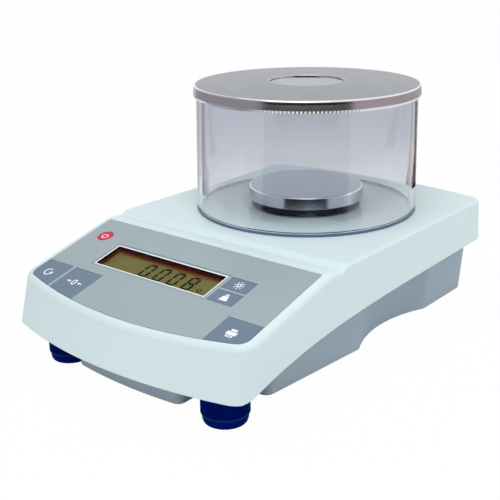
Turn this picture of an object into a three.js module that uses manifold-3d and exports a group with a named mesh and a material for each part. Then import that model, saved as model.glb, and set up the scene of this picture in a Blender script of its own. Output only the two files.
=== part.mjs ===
// A laboratory electronic balance with a round glass draft shield.
// Millimetres, +Z up. The front of the balance faces -Y.
// The origin lies on the table under the middle of the case.

import * as THREE from 'three';
import { mergeVertices } from 'three/addons/utils/BufferGeometryUtils.js';
import Module from 'manifold-3d';

const wasm = await Module();
wasm.setup();

// Clearances
const seatGap = 0.3;
const slideGap = 0.35;
const looseGap = 0.6;
const overrun = 2;

// Case
const caseLength = 337;
const caseWidth = 215;
const caseWall = 3.5;
const deckHeight = 86;
const sideDraft = 1.5;
const frontLean = 8;
const rearDraft = 1.5;
const frontBow = 365;
const rearBow = 470;
const frontCorner = 13;
const frontRimCorner = 15;
const rearCorner = 12;
const frontEdgeRadius = 5;
const rearEdgeRadius = 2.5;
const sideSpacing = 40;

// Lower edge of the upper housing: level along the front, rising to the rear
const frontEdgeHeight = 28;
const edgeRise = 6;
const edgeSweep = 19;
const sweepLead = 18.5;
const sweepTail = 18.5;
const sweepPower = 5;

// Step between the control panel and the deck. Its reaches start at the panel's back
// edge and its drops at the deck.
const panelDrop = 2;
const panelSlope = THREE.MathUtils.degToRad(14.7);
const ridgeReach = 6;
const ridgeDrop = 1.2;
const valleyReach = 15.5;
const valleyDrop = 3;
const stepReach = 22;

// Control panel, measured along its slope from its back edge. Its rim is what the case
// has in front of it.
const panelMargin = 7.5;
const panelRim = 9.8;
const panelBow = 359;
const panelCorner = 7.5;
const panelBackCorner = 1.5;
const overlayThickness = 1.5;
const overlayInset = 0.3;

// Display
const windowWidth = 103.6;
const windowDepth = 24;
const windowX = -9.7;
const windowFromBack = 39.2;
const bezelRim = 2.2;
const bezelHeight = 4.2;
const bezelFlange = 1.5;
const bezelFlangeHeight = 0.8;
const lensThickness = 1;
const lensDepth = 0.5;
const lcdMargin = 3;
const lcdThickness = 3.2;

// Keys
const keyThickness = 1.2;
const keyTravel = 0.4;
const plungerRadius = 2.5;
const switchSize = 6;
const switchBodyHeight = 2.2;
const switchButtonRadius = 1.7;
const powerKeyRadius = 6;
const powerKeyEdge = 16.2;
const powerKeyFromBack = 20.5;
const modeKeyWidth = 26.3;
const tareKeyGap = 2.9;
const tareKeyWidth = 27.9;
const windowKeyGap = 10.6;
const frontKeyDepth = 32.9;
const sideKeyGap = 4.1;
const sideKeyWidth = 21.4;
const backlightKeyFromBack = 25.5;
const backlightKeyEnd = 38.7;
const calibrateKeyFromBack = 40.6;
const calibrateKeyEnd = 53.4;
const printKeyWidth = 27.4;
const tarePlungerInset = 18.5;
const cornerPlungerInset = 20.5;

// Display board
const boardThickness = 1.6;
const boardDrop = 8;
const displayBoardMargin = 6;
const displayBoardStart = 6;
const displayBoardSetback = 15.7;
const boardPostRadius = 3.4;
const boardPostEdge = 22;
const boardPostFromBack = 12;
const boardPinX = 20;
const boardPinEdge = 7;

// Lower housing
const baseClearance = 7;
const baseWall = 3;
const baseFloor = 2.5;
const baseEdge = 2;
const baseLean = Math.tan(THREE.MathUtils.degToRad(4));
const baseSetback = 13.7;
const baseFrontSetback = 7.3;
const baseRearSetback = 8;
const baseRearCorner = 8;
const chinFootGap = 9.5;
const chinSetback = 19;
const chinCorner = 6;
const baySetback = 60.5;
const bayRearSlant = 5;
const bayCorner = 7;
const recessRadius = 113;
const recessDepth = 10.7;
const recessSetback = 127;
const flangeLift = 1;
const flangeThickness = 2.5;

// Levelling feet
const frontFootEdge = 33;
const frontFootSetback = 37.2;
const knobRadius = 16;
const knobSoleRadius = 13.7;
const knobHeight = 27;
const knobEdge = 6;
const knobTopEdge = 1;
const footTravel = 5;
const footHeadroom = 2;
const padRadius = 11.6;
const padHeight = 3.7;
const padProud = 0.8;
const studRadius = 4;
const studLength = 40;
const studSeatHeight = 8;
const insertRadius = 6.5;
const insertHeight = 12;
const insertBossWall = 3;

// Rear feet
const rearFootEdge = 37.8;
const rearFootSetback = 31.5;
const rearFootRadius = 11;
const rearPlugRadius = 3.5;
const rearPlugHeight = 4;

// Case screws
const caseScrewEdge = 13.8;
const caseScrewRearSetback = 30.5;
const caseScrewFrontReach = 10;
const caseBossRadius = 5;
const caseBossMeet = 40;

// Fasteners
const screwRadius = 1.5;
const screwHeadRadius = 2.8;
const screwHeadHeight = 2.2;
const caseScrewLength = 20;
const boardScrewLength = 6;
const chassisScrewLength = 9;
const cellScrewLength = 18;
const largeScrewRadius = 2;
const largeScrewHeadRadius = 3.6;

// Weighing cell on its chassis
const panSetback = 112.5;
const chassisWidth = 88;
const chassisLength = 122;
const chassisThickness = 6;
const chassisLevel = 16;
const chassisCorner = 8;
const chassisScrewX = 36;
const chassisScrewReach = 53;
const cellWidth = 24;
const cellHeight = 24;
const cellLength = 124;
const cellLevel = 28;
const cellBore = 6;
const cellBoreReach = 16;
const cellPadLength = 30;
const cellPadWidth = 30;
const cellScrewPitch = 14;
const cellScrewEdge = 8;
const cellPadLead = 2;
const stopRadius = 3;
const stopHeadRadius = 5;
const stopHeadHeight = 2;
const stopEdge = 12;

// Pan carrier
const carrierTravel = 0.4;
const armRest = 0.2;
const armWidth = 28;
const armThickness = 4;
const armPadHeight = 3.4;
const armPadLength = 22;
const armOverhang = 12;
const postRadius = 5;
const postFlangeRadius = 9;
const postFlangeHeight = 3;

// Pan and its support
const panRadius = 45;
const panRise = 17.6;
const panSkirt = 9.2;
const panFlare = 0.8;
const panWall = 0.8;
const panEdge = 1.2;
const supportRadius = 43.6;
const supportClearance = 1;
const supportWall = 1.2;
const hubRadius = 8.5;
const hubDepth = 8.5;
const collarRadius = 12.5;
const collarWall = 3;
const collarHeight = 4.5;

// Draft shield
const shieldRadius = 86.8;
const shieldTopRadius = 85.2;
const shieldWall = 3.5;
const shieldHeight = 93.8;
const shieldEdge = 1;
const floorRadius = 87.2;
const floorThickness = 2;
const floorHoleRadius = 16;
const lidRadius = 87;
const lidBeadRadius = 87.6;
const lidHemRadius = 86.7;
const lidWall = 0.8;
const lidEdge = 1;
const lidRimHeight = 7.7;
const lidBeadHeight = 2.4;
const lidDome = 1.5;
const lidHoleRadius = 28.6;
const lidHoleLip = 2;

// Main board and sockets at the rear
const mainBoardMargin = 20.8;
const mainBoardDepth = 30;
const mainBoardSetback = 39;
const mainBoardLevel = 18;
const mainPostSide = 5;
const mainPostEdge = 4;
const chipSize = 14;
const chipHeight = 1.6;
const chipEdge = 15;
const headerWidth = 18;
const headerDepth = 6;
const headerHeight = 8;
const canX = -20;
const canWidth = 34;
const canDepth = 20;
const canHeight = 9;
const canSetback = 8;
const inletX = -45;
const inletWidth = 9;
const inletHeight = 11;
const inletDepth = 18;
const inletBore = 3.1;
const inletBoreDepth = 10;
const inletPin = 1;
const inletPinInset = 2;
const serialX = 22;
const serialWidth = 31;
const serialHeight = 12.5;
const serialDepth = 18;
const serialMouthWidth = 17;
const serialMouthHeight = 8.5;
const serialMouthDepth = 6;
const serialTaper = 1.2;
const socketInset = 0.5;

// Leads inside the case
const ribbonGap = 10;
const ribbonWidth = 16;
const ribbonThickness = 0.8;
const ribbonRun = 30;
const ribbonReach = 60;
const ribbonLow = 17;
const leadRadius = 1.3;
const leadSide = 8;
const leadRise = 2.6;

// Facets
const bigRound = 52;
const panRound = 36;
const knobRound = 20;
const smallRound = 10;
const bowSteps = 5;
const cornerSteps = 3;
const filletSteps = 3;
const blendSteps = 3;
const recessSteps = 8;
const bendShare = 1 / 3;
const leadSides = 6;
const leadSteps = 12;

// Places that follow from the sizes above
const caseFrontY = -caseLength / 2;
const caseRearY = caseLength / 2;
const frontKeyFromBack = windowFromBack + windowDepth / 2 + windowKeyGap;
const panelDepth = frontKeyFromBack + frontKeyDepth;
const panelBackY = caseFrontY + panelDepth + panelRim;
const panelBackHeight = deckHeight - panelDrop;
const ridgeY = panelBackY + ridgeReach;
const ridgeHeight = deckHeight - ridgeDrop;
const valleyY = panelBackY + valleyReach;
const valleyHeight = deckHeight - valleyDrop;
const deckFrontY = panelBackY + stepReach;
const sweepStart = caseFrontY + sweepLead;
const sweepEnd = caseRearY - sweepTail;
const panelWidth = caseWidth - panelMargin - panelMargin;
const powerKeyX = powerKeyEdge - panelWidth / 2;
const modeKeyRight = modeKeyWidth - panelWidth / 2;
const tareKeyLeft = modeKeyRight + tareKeyGap;
const tareKeyRight = tareKeyLeft + tareKeyWidth;
const tarePlungerFromBack = panelDepth - tarePlungerInset;
const cornerPlungerFromBack = panelDepth - cornerPlungerInset;
const windowLeft = windowX - windowWidth / 2;
const windowRight = windowX + windowWidth / 2;
const windowFront = -windowFromBack - windowDepth / 2;
const windowRear = -windowFromBack + windowDepth / 2;
const sideKeyLeft = windowRight + sideKeyGap;
const sideKeyRight = sideKeyLeft + sideKeyWidth;
const printKeyLeft = panelWidth / 2 - printKeyWidth;
const displayBoardWidth = panelWidth - displayBoardMargin - displayBoardMargin;
const displayBoardEnd = panelDepth - displayBoardSetback;
const boardPinFromBack = displayBoardEnd - boardPinEdge;
const boardPostX = displayBoardWidth / 2 - boardPostEdge;
const baseWidth = caseWidth - baseSetback - baseSetback;
const baseFrontWidth = baseWidth - baseFrontSetback - baseFrontSetback;
const baseRearY = caseRearY - baseRearSetback;
const chinFrontY = caseFrontY + chinSetback;
const bayRearY = caseFrontY + baySetback;
const recessY = caseRearY - recessSetback;
const frontFootX = caseWidth / 2 - frontFootEdge;
const frontFootY = caseFrontY + frontFootSetback;
const rearFootX = baseWidth / 2 - rearFootEdge;
const rearFootY = baseRearY - rearFootSetback;
const caseScrewX = baseWidth / 2 - caseScrewEdge;
const caseScrewRearY = baseRearY - caseScrewRearSetback;
const caseScrewFrontY = panelBackY + caseScrewFrontReach;
const panY = caseRearY - panSetback;
const panTopHeight = deckHeight + panRise;
const mainBoardWidth = baseWidth - mainBoardMargin - mainBoardMargin;
const mainBoardFrontY = baseRearY - mainBoardSetback;
const mainPostX = mainBoardWidth / 2 - mainPostSide;
const chipX = mainBoardWidth / 2 - chipEdge;
const ribbonX = -chassisWidth / 2 - ribbonGap;
const partingRear = frontEdgeHeight + edgeRise + edgeSweep;
const deckUnderside = deckHeight - caseWall;
const recessFloor = overlayThickness + seatGap;
const floorTop = baseClearance + baseFloor;
const bayCeiling = knobHeight + footTravel + footHeadroom;
const boardTop = -boardDrop;
const chassisTop = chassisLevel + chassisThickness;
const cellTop = cellLevel + cellHeight;
const cellFrontY = panY - cellLength / 2;
const cellRearY = panY + cellLength / 2;
const armLevel = cellTop + carrierTravel + armRest + armPadHeight;
const armTop = armLevel + armThickness;
const supportTop = panTopHeight - panWall - seatGap;
const floorLevel = deckHeight + seatGap;
const supportBottom = floorLevel + floorThickness + supportClearance;
const shieldLevel = floorLevel + floorThickness + seatGap;
const shieldTop = shieldLevel + shieldHeight;
const lidEdgeHeight = shieldTop + seatGap + lidWall;
const mainBoardTop = mainBoardLevel + boardThickness;

// Colours
const white = finish(0xd6e6e9, 0.42, 0);
const grey = finish(0x8b98a5, 0.5, 0);
const overlayGrey = finish(0xa3b0b5, 0.45, 0);
const slate = finish(0x6b7f92, 0.45, 0);
const red = finish(0xd3264e, 0.4, 0);
const frameWhite = finish(0xe8eceb, 0.4, 0);
const clear = glazing(0xdfe7ea, 0.25);
const olive = finish(0x6e6e46, 0.3, 0);
const boardGreen = finish(0x1f6b3a, 0.5, 0);
const black = finish(0x1c1d20, 0.5, 0);
const navy = finish(0x0d2062, 0.4, 0);
const rubber = finish(0x222428, 0.9, 0);
const steel = finish(0xa3a9b0, 0.25, 1);
const mirrorSteel = finish(0xaab2b8, 0.08, 1);
const aluminium = finish(0xb9bdc0, 0.4, 0.9);
const brass = finish(0xb5913f, 0.35, 1);

function finish(color, roughness, metalness) {
  return new THREE.MeshStandardMaterial({ color, roughness, metalness });
}

function glazing(color, opacity) {
  const shine = { roughness: 0.05, metalness: 0 };
  return new THREE.MeshStandardMaterial({ color, ...shine, transparent: true, opacity });
}

// Solids

function bare(geometry) {
  const copy = geometry.clone();
  copy.deleteAttribute('normal');
  copy.deleteAttribute('uv');
  return mergeVertices(copy);
}

function facingOut(geometry) {
  const points = geometry.attributes.position;
  const index = geometry.index.array;
  const [a, b, c] = [new THREE.Vector3(), new THREE.Vector3(), new THREE.Vector3()];
  let volume = 0;
  for (let i = 0; i < index.length; i += 3) {
    a.fromBufferAttribute(points, index[i]);
    b.fromBufferAttribute(points, index[i + 1]);
    c.fromBufferAttribute(points, index[i + 2]);
    volume += a.dot(b.cross(c));
  }
  if (volume < 0) {
    for (let i = 0; i < index.length; i += 3) {
      [index[i], index[i + 1]] = [index[i + 1], index[i]];
    }
  }
  return geometry;
}

function toSolid(geometry) {
  const clean = facingOut(bare(geometry));
  const mesh = new wasm.Mesh({
    numProp: 3,
    vertProperties: new Float32Array(clean.attributes.position.array),
    triVerts: new Uint32Array(clean.index.array),
  });
  return new wasm.Manifold(mesh);
}

function toGeometry(solid) {
  const mesh = solid.getMesh();
  const geometry = new THREE.BufferGeometry();
  geometry.setAttribute('position', new THREE.BufferAttribute(mesh.vertProperties, 3));
  geometry.setIndex(new THREE.BufferAttribute(mesh.triVerts, 1));
  return geometry;
}

function join(first, ...others) {
  return toGeometry(others.reduce((sum, other) => sum.add(toSolid(other)), toSolid(first)));
}

function cut(first, ...others) {
  return toGeometry(others.reduce((rest, other) => rest.subtract(toSolid(other)), toSolid(first)));
}

function overlapOf(first, second) {
  return toGeometry(toSolid(first).intersect(toSolid(second)));
}

function rod(radius, low, high, x = 0, y = 0, facets = smallRound) {
  const geometry = new THREE.CylinderGeometry(radius, radius, high - low, facets);
  return geometry.rotateX(Math.PI / 2).translate(x, y, (low + high) / 2);
}

function crossRod(radius, width, y, z) {
  const geometry = new THREE.CylinderGeometry(radius, radius, width, smallRound);
  return geometry.rotateZ(Math.PI / 2).translate(0, y, z);
}

function rearRod(radius, front, rear, x, z) {
  const geometry = new THREE.CylinderGeometry(radius, radius, rear - front, smallRound);
  return geometry.translate(x, (front + rear) / 2, z);
}

function box(left, right, front, rear, low, high) {
  const geometry = new THREE.BoxGeometry(right - left, rear - front, high - low);
  return geometry.translate((left + right) / 2, (front + rear) / 2, (low + high) / 2);
}

// A turned piece about the vertical axis. The profile is a list of [radius, height].
function turned(profile, facets, x = 0, y = 0) {
  const points = profile.map(([radius, height]) => new THREE.Vector2(radius, height));
  return facingOut(bare(new THREE.LatheGeometry(points, facets).rotateX(Math.PI / 2))).translate(x, y, 0);
}

function turnedRing(profile, facets, x = 0, y = 0) {
  return turned([...profile, profile[0]], facets, x, y);
}

function plate(outline, low, high) {
  const shape = new THREE.Shape(outline.map(([x, y]) => new THREE.Vector2(x, y)));
  const geometry = new THREE.ExtrudeGeometry(shape, { depth: high - low, bevelEnabled: false });
  return geometry.translate(0, 0, low);
}

// A solid through rings of as many points each, every ring mirrored about X = 0 and
// starting at its front middle. Both end rings close with strips from side to side.
function loft(rings) {
  const count = rings[0].length;
  const index = [];
  rings.slice(1).forEach((ring, level) => {
    for (let i = 0; i < count; i += 1) {
      const next = (i + 1) % count;
      const [a, b] = [level * count + i, level * count + next];
      index.push(a, b, b + count, a, b + count, a + count);
    }
  });
  closeRing(index, 0, count, false);
  closeRing(index, (rings.length - 1) * count, count, true);
  const geometry = new THREE.BufferGeometry();
  geometry.setAttribute('position', new THREE.Float32BufferAttribute(rings.flat(2), 3));
  geometry.setIndex(index);
  return facingOut(geometry);
}

function closeRing(index, start, count, upward) {
  for (let i = 0; i < count / 2; i += 1) {
    const [right, left] = [start + i, start + (count - i) % count];
    const [nextRight, nextLeft] = [right + 1, start + count - i - 1];
    const corners = upward ? [right, nextRight, nextLeft, left] : [left, nextLeft, nextRight, right];
    if (right !== left) {
      index.push(corners[0], corners[2], corners[3]);
    }
    if (nextRight !== nextLeft) {
      index.push(corners[0], corners[1], corners[2]);
    }
  }
}

// Outlines seen from above, as lists of [x, y]

function mirrored(half) {
  const otherSide = half.slice(1, -1).reverse().map(([x, y]) => [-x, y]);
  return [...half, ...otherSide];
}

function arc(centreX, centreY, radius, start, end, steps) {
  return Array.from({ length: steps + 1 }, (_, i) => {
    const angle = start + (end - start) * i / steps;
    return [centreX + radius * Math.cos(angle), centreY + radius * Math.sin(angle)];
  });
}

// Half of a bowed end with a round corner, from its middle to where the side starts.
// The end faces -Y when facing is -1 and +Y when facing is 1.
function bowedEnd(halfWidth, endY, bow, corner, facing) {
  const reach = Math.sqrt((bow - corner) ** 2 - (halfWidth - corner) ** 2);
  const bowY = endY - facing * bow;
  const turn = Math.atan2(halfWidth - corner, reach);
  const middle = facing * Math.PI / 2;
  const bowPoints = arc(0, bowY, bow, middle, middle - facing * turn, bowSteps);
  const cornerY = bowY + facing * reach;
  const cornerPoints = arc(halfWidth - corner, cornerY, corner, middle - facing * turn, 0, cornerSteps);
  return [...bowPoints, ...cornerPoints.slice(1)];
}

// Moves every point of an outline inwards, square to its sides.
function inset(outline, distance) {
  const count = outline.length;
  const far = typeof distance === 'function' ? distance : () => distance;
  return outline.map((point, i) => {
    const before = outwardOf(outline[(i + count - 1) % count], point);
    const after = outwardOf(point, outline[(i + 1) % count]);
    const scale = far(point) / (1 + before[0] * after[0] + before[1] * after[1]);
    return [point[0] - scale * (before[0] + after[0]), point[1] - scale * (before[1] + after[1])];
  });
}

function outwardOf(from, to) {
  const [dx, dy] = [to[0] - from[0], to[1] - from[1]];
  const length = Math.hypot(dx, dy);
  return [dy / length, -dx / length];
}

function raised(outline, heightAt) {
  return outline.map(([x, y]) => [x, y, typeof heightAt === 'function' ? heightAt(y) : heightAt]);
}

function between(low, high, share) {
  return low.map(([x, y], i) => [x + (high[i][0] - x) * share, y + (high[i][1] - y) * share]);
}

// Heights along the case

function eased(from, to, start, end, y) {
  return from + (to - from) * THREE.MathUtils.smoothstep(y, start, end);
}

function panelHeight(y) {
  return panelBackHeight + overlayInset + (y - panelBackY) * Math.tan(panelSlope);
}

function topHeight(y) {
  if (y <= panelBackY) {
    return panelHeight(y);
  }
  if (y <= ridgeY) {
    return eased(panelHeight(panelBackY), ridgeHeight, panelBackY, ridgeY, y);
  }
  if (y <= valleyY) {
    return eased(ridgeHeight, valleyHeight, ridgeY, valleyY, y);
  }
  return eased(valleyHeight, deckHeight, valleyY, deckFrontY, y);
}

function partingHeight(y) {
  const share = THREE.MathUtils.clamp((sweepEnd - y) / (sweepEnd - sweepStart), 0, 1);
  return partingRear - edgeRise * share - edgeSweep * share ** sweepPower;
}

function edgeRadius(y) {
  return eased(frontEdgeRadius, rearEdgeRadius, panelBackY, deckFrontY, y);
}

function flangeHeight(y) {
  return Math.max(partingHeight(y) + flangeLift, bayCeiling);
}

// Upper housing

function sideStations(start, end) {
  const steps = (from, to) => {
    return Array.from({ length: blendSteps }, (_, i) => from + (to - from) * i / blendSteps);
  };
  const blends = [...steps(ridgeY, valleyY), ...steps(valleyY, deckFrontY)];
  const stations = [panelBackY, ...blends, deckFrontY];
  const spread = (from, to) => {
    const count = Math.max(1, Math.round((to - from) / sideSpacing));
    return Array.from({ length: count - 1 }, (_, i) => from + (to - from) * (i + 1) / count);
  };
  return [...spread(start, panelBackY), ...stations, ...spread(deckFrontY, end)];
}

function caseOutline(halfWidth, frontY, rearY, corner) {
  const front = bowedEnd(halfWidth, frontY, frontBow, corner, -1);
  const rear = bowedEnd(halfWidth, rearY, rearBow, rearCorner, 1).reverse();
  const side = sideStations(front.at(-1)[1], rear[0][1]).map((y) => [halfWidth, y]);
  return mirrored([...front, ...side, ...rear]);
}

const rimOutline = caseOutline(caseWidth / 2, caseFrontY, caseRearY, frontRimCorner);
const shoulderOutline = caseOutline(
  caseWidth / 2 - sideDraft,
  caseFrontY + frontLean,
  caseRearY - rearDraft,
  frontCorner,
);

function roundedEdgeRings() {
  return Array.from({ length: filletSteps + 1 }, (_, i) => {
    const angle = (Math.PI / 2) * (i / filletSteps);
    const ring = inset(shoulderOutline, ([, y]) => edgeRadius(y) * (1 - Math.cos(angle)));
    return raised(ring, (y) => topHeight(y) - edgeRadius(y) * (1 - Math.sin(angle)));
  });
}

function caseShell() {
  return loft([
    raised(inset(shoulderOutline, caseWall), (y) => topHeight(y) - caseWall),
    raised(inset(rimOutline, caseWall), partingHeight),
    raised(rimOutline, partingHeight),
    ...roundedEdgeRings(),
  ]);
}

// Control panel. Its pieces are made flat, with Z = 0 on the overlay's face and Y = 0 on
// its back edge, and are tilted by the panel group.

const panel = new THREE.Group();
panel.position.set(0, panelBackY, panelBackHeight);
panel.rotation.x = panelSlope;
panel.updateMatrixWorld();

function onPanel(geometry) {
  return geometry.applyMatrix4(panel.matrixWorld);
}

function overlayOutline(margin) {
  const halfWidth = panelWidth / 2 + margin;
  const front = bowedEnd(halfWidth, -panelDepth - margin, panelBow, panelCorner + margin, -1);
  const [cornerX, cornerY] = [halfWidth - panelBackCorner, margin - panelBackCorner];
  const back = arc(cornerX, cornerY, panelBackCorner, 0, Math.PI / 2, cornerSteps);
  return mirrored([...front, ...back, [0, margin]]);
}

function windowBox(margin, low, high) {
  return spanBox([windowLeft, windowRight, windowFront, windowRear], margin, low, high);
}

const panelEdge = panelWidth / 2 + overrun;
const panelEnd = -panelDepth - overrun;
const middleOf = (start, end) => (start + end) / 2;

// Each key with the box of its place on the overlay and the middle of its plunger
const keyPlaces = {
  mode_key: {
    span: [-panelEdge, modeKeyRight, panelEnd, -frontKeyFromBack],
    plunger: [middleOf(-panelWidth / 2, modeKeyRight), -cornerPlungerFromBack],
    material: slate,
  },
  tare_key: {
    span: [tareKeyLeft, tareKeyRight, panelEnd, -frontKeyFromBack],
    plunger: [middleOf(tareKeyLeft, tareKeyRight), -tarePlungerFromBack],
    material: slate,
  },
  print_key: {
    span: [printKeyLeft, panelEdge, panelEnd, -frontKeyFromBack],
    plunger: [middleOf(printKeyLeft, panelWidth / 2), -cornerPlungerFromBack],
    material: slate,
  },
  backlight_key: {
    span: [sideKeyLeft, sideKeyRight, -backlightKeyEnd, -backlightKeyFromBack],
    plunger: [middleOf(sideKeyLeft, sideKeyRight), -middleOf(backlightKeyFromBack, backlightKeyEnd)],
    material: slate,
  },
  calibrate_key: {
    span: [sideKeyLeft, sideKeyRight, -calibrateKeyEnd, -calibrateKeyFromBack],
    plunger: [middleOf(sideKeyLeft, sideKeyRight), -middleOf(calibrateKeyFromBack, calibrateKeyEnd)],
    material: slate,
  },
};

function spanBox([left, right, front, rear], margin, low, high) {
  return box(left - margin, right + margin, front - margin, rear + margin, low, high);
}

function panelOverlay() {
  const sheet = plate(overlayOutline(0), -overlayThickness, 0);
  const low = -overlayThickness - overrun;
  const keyCuts = Object.values(keyPlaces).map(({ span }) => spanBox(span, 0, low, overrun));
  const powerCut = rod(powerKeyRadius + seatGap, low, overrun, powerKeyX, -powerKeyFromBack, knobRound);
  return cut(sheet, ...keyCuts, powerCut, windowBox(bezelRim + seatGap, low, overrun));
}

const plungerEnd = caseWall + looseGap;
const switchButtonTop = plungerEnd + keyTravel + seatGap;

function keyPlunger([x, y]) {
  return rod(plungerRadius, -plungerEnd, -keyThickness / 2, x, y);
}

function panelKey({ span, plunger }) {
  const face = plate(overlayOutline(0), -keyThickness, 0);
  const cap = overlapOf(face, spanBox(span, -seatGap, -keyThickness - overrun, overrun));
  return join(cap, keyPlunger(plunger));
}

function powerKey() {
  const cap = rod(powerKeyRadius, -keyThickness, 0, powerKeyX, -powerKeyFromBack, knobRound);
  return join(cap, keyPlunger([powerKeyX, -powerKeyFromBack]));
}

const plungerPlaces = [
  [powerKeyX, -powerKeyFromBack],
  ...Object.values(keyPlaces).map(({ plunger }) => plunger),
];

function keySwitch([x, y]) {
  const half = switchSize / 2;
  const bodyLow = boardTop + seatGap;
  const body = box(x - half, x + half, y - half, y + half, bodyLow, bodyLow + switchBodyHeight);
  return join(body, rod(switchButtonRadius, bodyLow, -switchButtonTop, x, y));
}

function displayBezel() {
  const wide = bezelRim + bezelFlange;
  const frame = join(
    windowBox(bezelRim, -bezelHeight, 0),
    windowBox(wide, -bezelHeight, -bezelHeight + bezelFlangeHeight),
  );
  return cut(frame, windowBox(0, -bezelHeight - overrun, overrun));
}

function displayWindow() {
  return windowBox(-seatGap, -lensDepth - lensThickness, -lensDepth);
}

function lcdPanel() {
  const top = -bezelHeight - seatGap;
  return windowBox(lcdMargin, top - lcdThickness, top);
}

const boardPosts = [-1, 1].map((side) => [side * boardPostX, -boardPostFromBack]);
const boardPins = [-1, 1].map((side) => [side * boardPinX, -boardPinFromBack]);
const boardScrewTop = boardTop - boardThickness - seatGap;

function displayBoard() {
  const half = displayBoardWidth / 2;
  const board = box(-half, half, -displayBoardEnd, -displayBoardStart, boardTop - boardThickness, boardTop);
  return cut(board, ...screwHoles(boardPosts, boardTop - boardThickness - overrun, overrun));
}

function rodsAt(places, radius, low, high, facets = smallRound) {
  return places.map(([x, y]) => rod(radius, low, high, x, y, facets));
}

function screwHoles(places, low, high, radius = screwRadius) {
  return rodsAt(places, radius + slideGap, low, high);
}

// Screws point along +Z from their head, at the given place.
function screw(x, y, headTop, length, radius = screwRadius, headRadius = screwHeadRadius) {
  return join(
    rod(headRadius, headTop - screwHeadHeight, headTop, x, y),
    rod(radius, headTop - screwHeadHeight / 2, headTop + length, x, y),
  );
}

function turnedOver(geometry, x, y, level) {
  return geometry.translate(-x, -y, -level).rotateX(Math.PI).translate(x, y, level);
}

function downScrew(x, y, headBottom, length, radius = screwRadius, headRadius = screwHeadRadius) {
  return turnedOver(screw(x, y, headBottom, length, radius, headRadius), x, y, headBottom);
}

const caseScrewPlaces = [-1, 1].flatMap((side) => [
  [side * caseScrewX, caseScrewFrontY],
  [side * caseScrewX, caseScrewRearY],
]);
const caseScrewHeadTop = caseBossMeet - caseScrewLength / 2;

function upperHousing() {
  const collarTop = deckHeight + collarHeight;
  const collar = rod(collarRadius, deckUnderside, collarTop, 0, panY, knobRound);
  const bosses = caseScrewPlaces.map(([x, y]) => {
    return rod(caseBossRadius, caseBossMeet + seatGap, topHeight(y) - caseWall / 2, x, y);
  });
  const postLow = boardTop + seatGap;
  const postHigh = -(recessFloor + caseWall) / 2;
  const posts = rodsAt([...boardPosts, ...boardPins], boardPostRadius, postLow, postHigh);
  const body = join(caseShell(), collar, ...bosses, ...posts.map(onPanel));
  const cutLow = -recessFloor - caseWall - overrun;
  const recess = onPanel(plate(overlayOutline(seatGap), -recessFloor, overrun));
  const opening = onPanel(windowBox(bezelRim + seatGap, cutLow, overrun));
  const plungerHoles = rodsAt(plungerPlaces, plungerRadius + looseGap, cutLow, overrun);
  const stemRadius = collarRadius - collarWall;
  const stemHole = rod(stemRadius, deckUnderside - overrun, collarTop + overrun, 0, panY, knobRound);
  const caseHoles = screwHoles(caseScrewPlaces, caseBossMeet, caseScrewHeadTop + caseScrewLength + seatGap);
  const boardHoles = screwHoles(boardPosts, boardTop, boardScrewTop + boardScrewLength + seatGap);
  const panelCuts = [...plungerHoles, ...boardHoles].map(onPanel);
  return cut(body, recess, opening, ...panelCuts, stemHole, ...caseHoles);
}

// Lower housing

function baseOutline() {
  const chinHalf = frontFootX - knobRadius - chinFootGap;
  const frontHalf = baseFrontWidth / 2;
  const half = baseWidth / 2;
  const chord = Math.sqrt(recessRadius ** 2 - (recessRadius - recessDepth) ** 2);
  const swing = Math.asin(chord / recessRadius);
  const recessX = half - recessDepth + recessRadius;
  const bayTurnX = frontHalf - bayCorner;
  const bayTurnY = bayRearY + bayRearSlant + bayCorner;
  return mirrored([
    ...bowedEnd(chinHalf, chinFrontY, frontBow, chinCorner, -1),
    [chinHalf, bayRearY],
    ...arc(bayTurnX, bayTurnY, bayCorner, -Math.PI / 2, 0, cornerSteps),
    ...arc(recessX, recessY, recessRadius, Math.PI + swing, Math.PI - swing, recessSteps),
    ...bowedEnd(half, baseRearY, rearBow, baseRearCorner, 1).reverse(),
  ]);
}

const footprint = baseOutline();

// The walls of the lower housing lean outwards as they rise.
function baseRing(margin, heightAt) {
  const height = typeof heightAt === 'function' ? heightAt : () => heightAt;
  return raised(inset(footprint, ([, y]) => margin - baseLean * (height(y) - baseClearance)), height);
}

const flangeTop = (y) => flangeHeight(y) + flangeThickness;

function baseTray() {
  const outside = loft([
    raised(inset(footprint, baseEdge), baseClearance),
    baseRing(0, baseClearance + baseEdge),
    baseRing(0, flangeTop),
  ]);
  const shellHeight = panelHeight(caseFrontY) - frontEdgeHeight;
  const flangeShare = (bayCeiling + flangeThickness - frontEdgeHeight) / shellHeight;
  const flangeOutline = inset(between(rimOutline, shoulderOutline, flangeShare), caseWall + seatGap);
  const flange = loft([raised(flangeOutline, flangeHeight), raised(flangeOutline, flangeTop)]);
  const cavity = loft([baseRing(baseWall, floorTop), baseRing(baseWall, (y) => flangeTop(y) + overrun)]);
  return cut(join(outside, flange), cavity);
}

const frontFootPlaces = [-1, 1].map((side) => [side * frontFootX, frontFootY]);
const rearFootPlaces = [-1, 1].map((side) => [side * rearFootX, rearFootY]);
const chassisScrewPlaces = [
  [-chassisScrewX, panY - chassisScrewReach],
  [chassisScrewX, panY - chassisScrewReach],
  [-chassisScrewX, panY + chassisScrewReach],
];
const mainPostPlaces = [-1, 1].map((side) => [side * mainPostX, mainBoardFrontY + mainPostEdge]);
const insertLow = bayCeiling;
const insertTop = insertLow + insertHeight;
const insertHole = insertRadius + slideGap;

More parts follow.
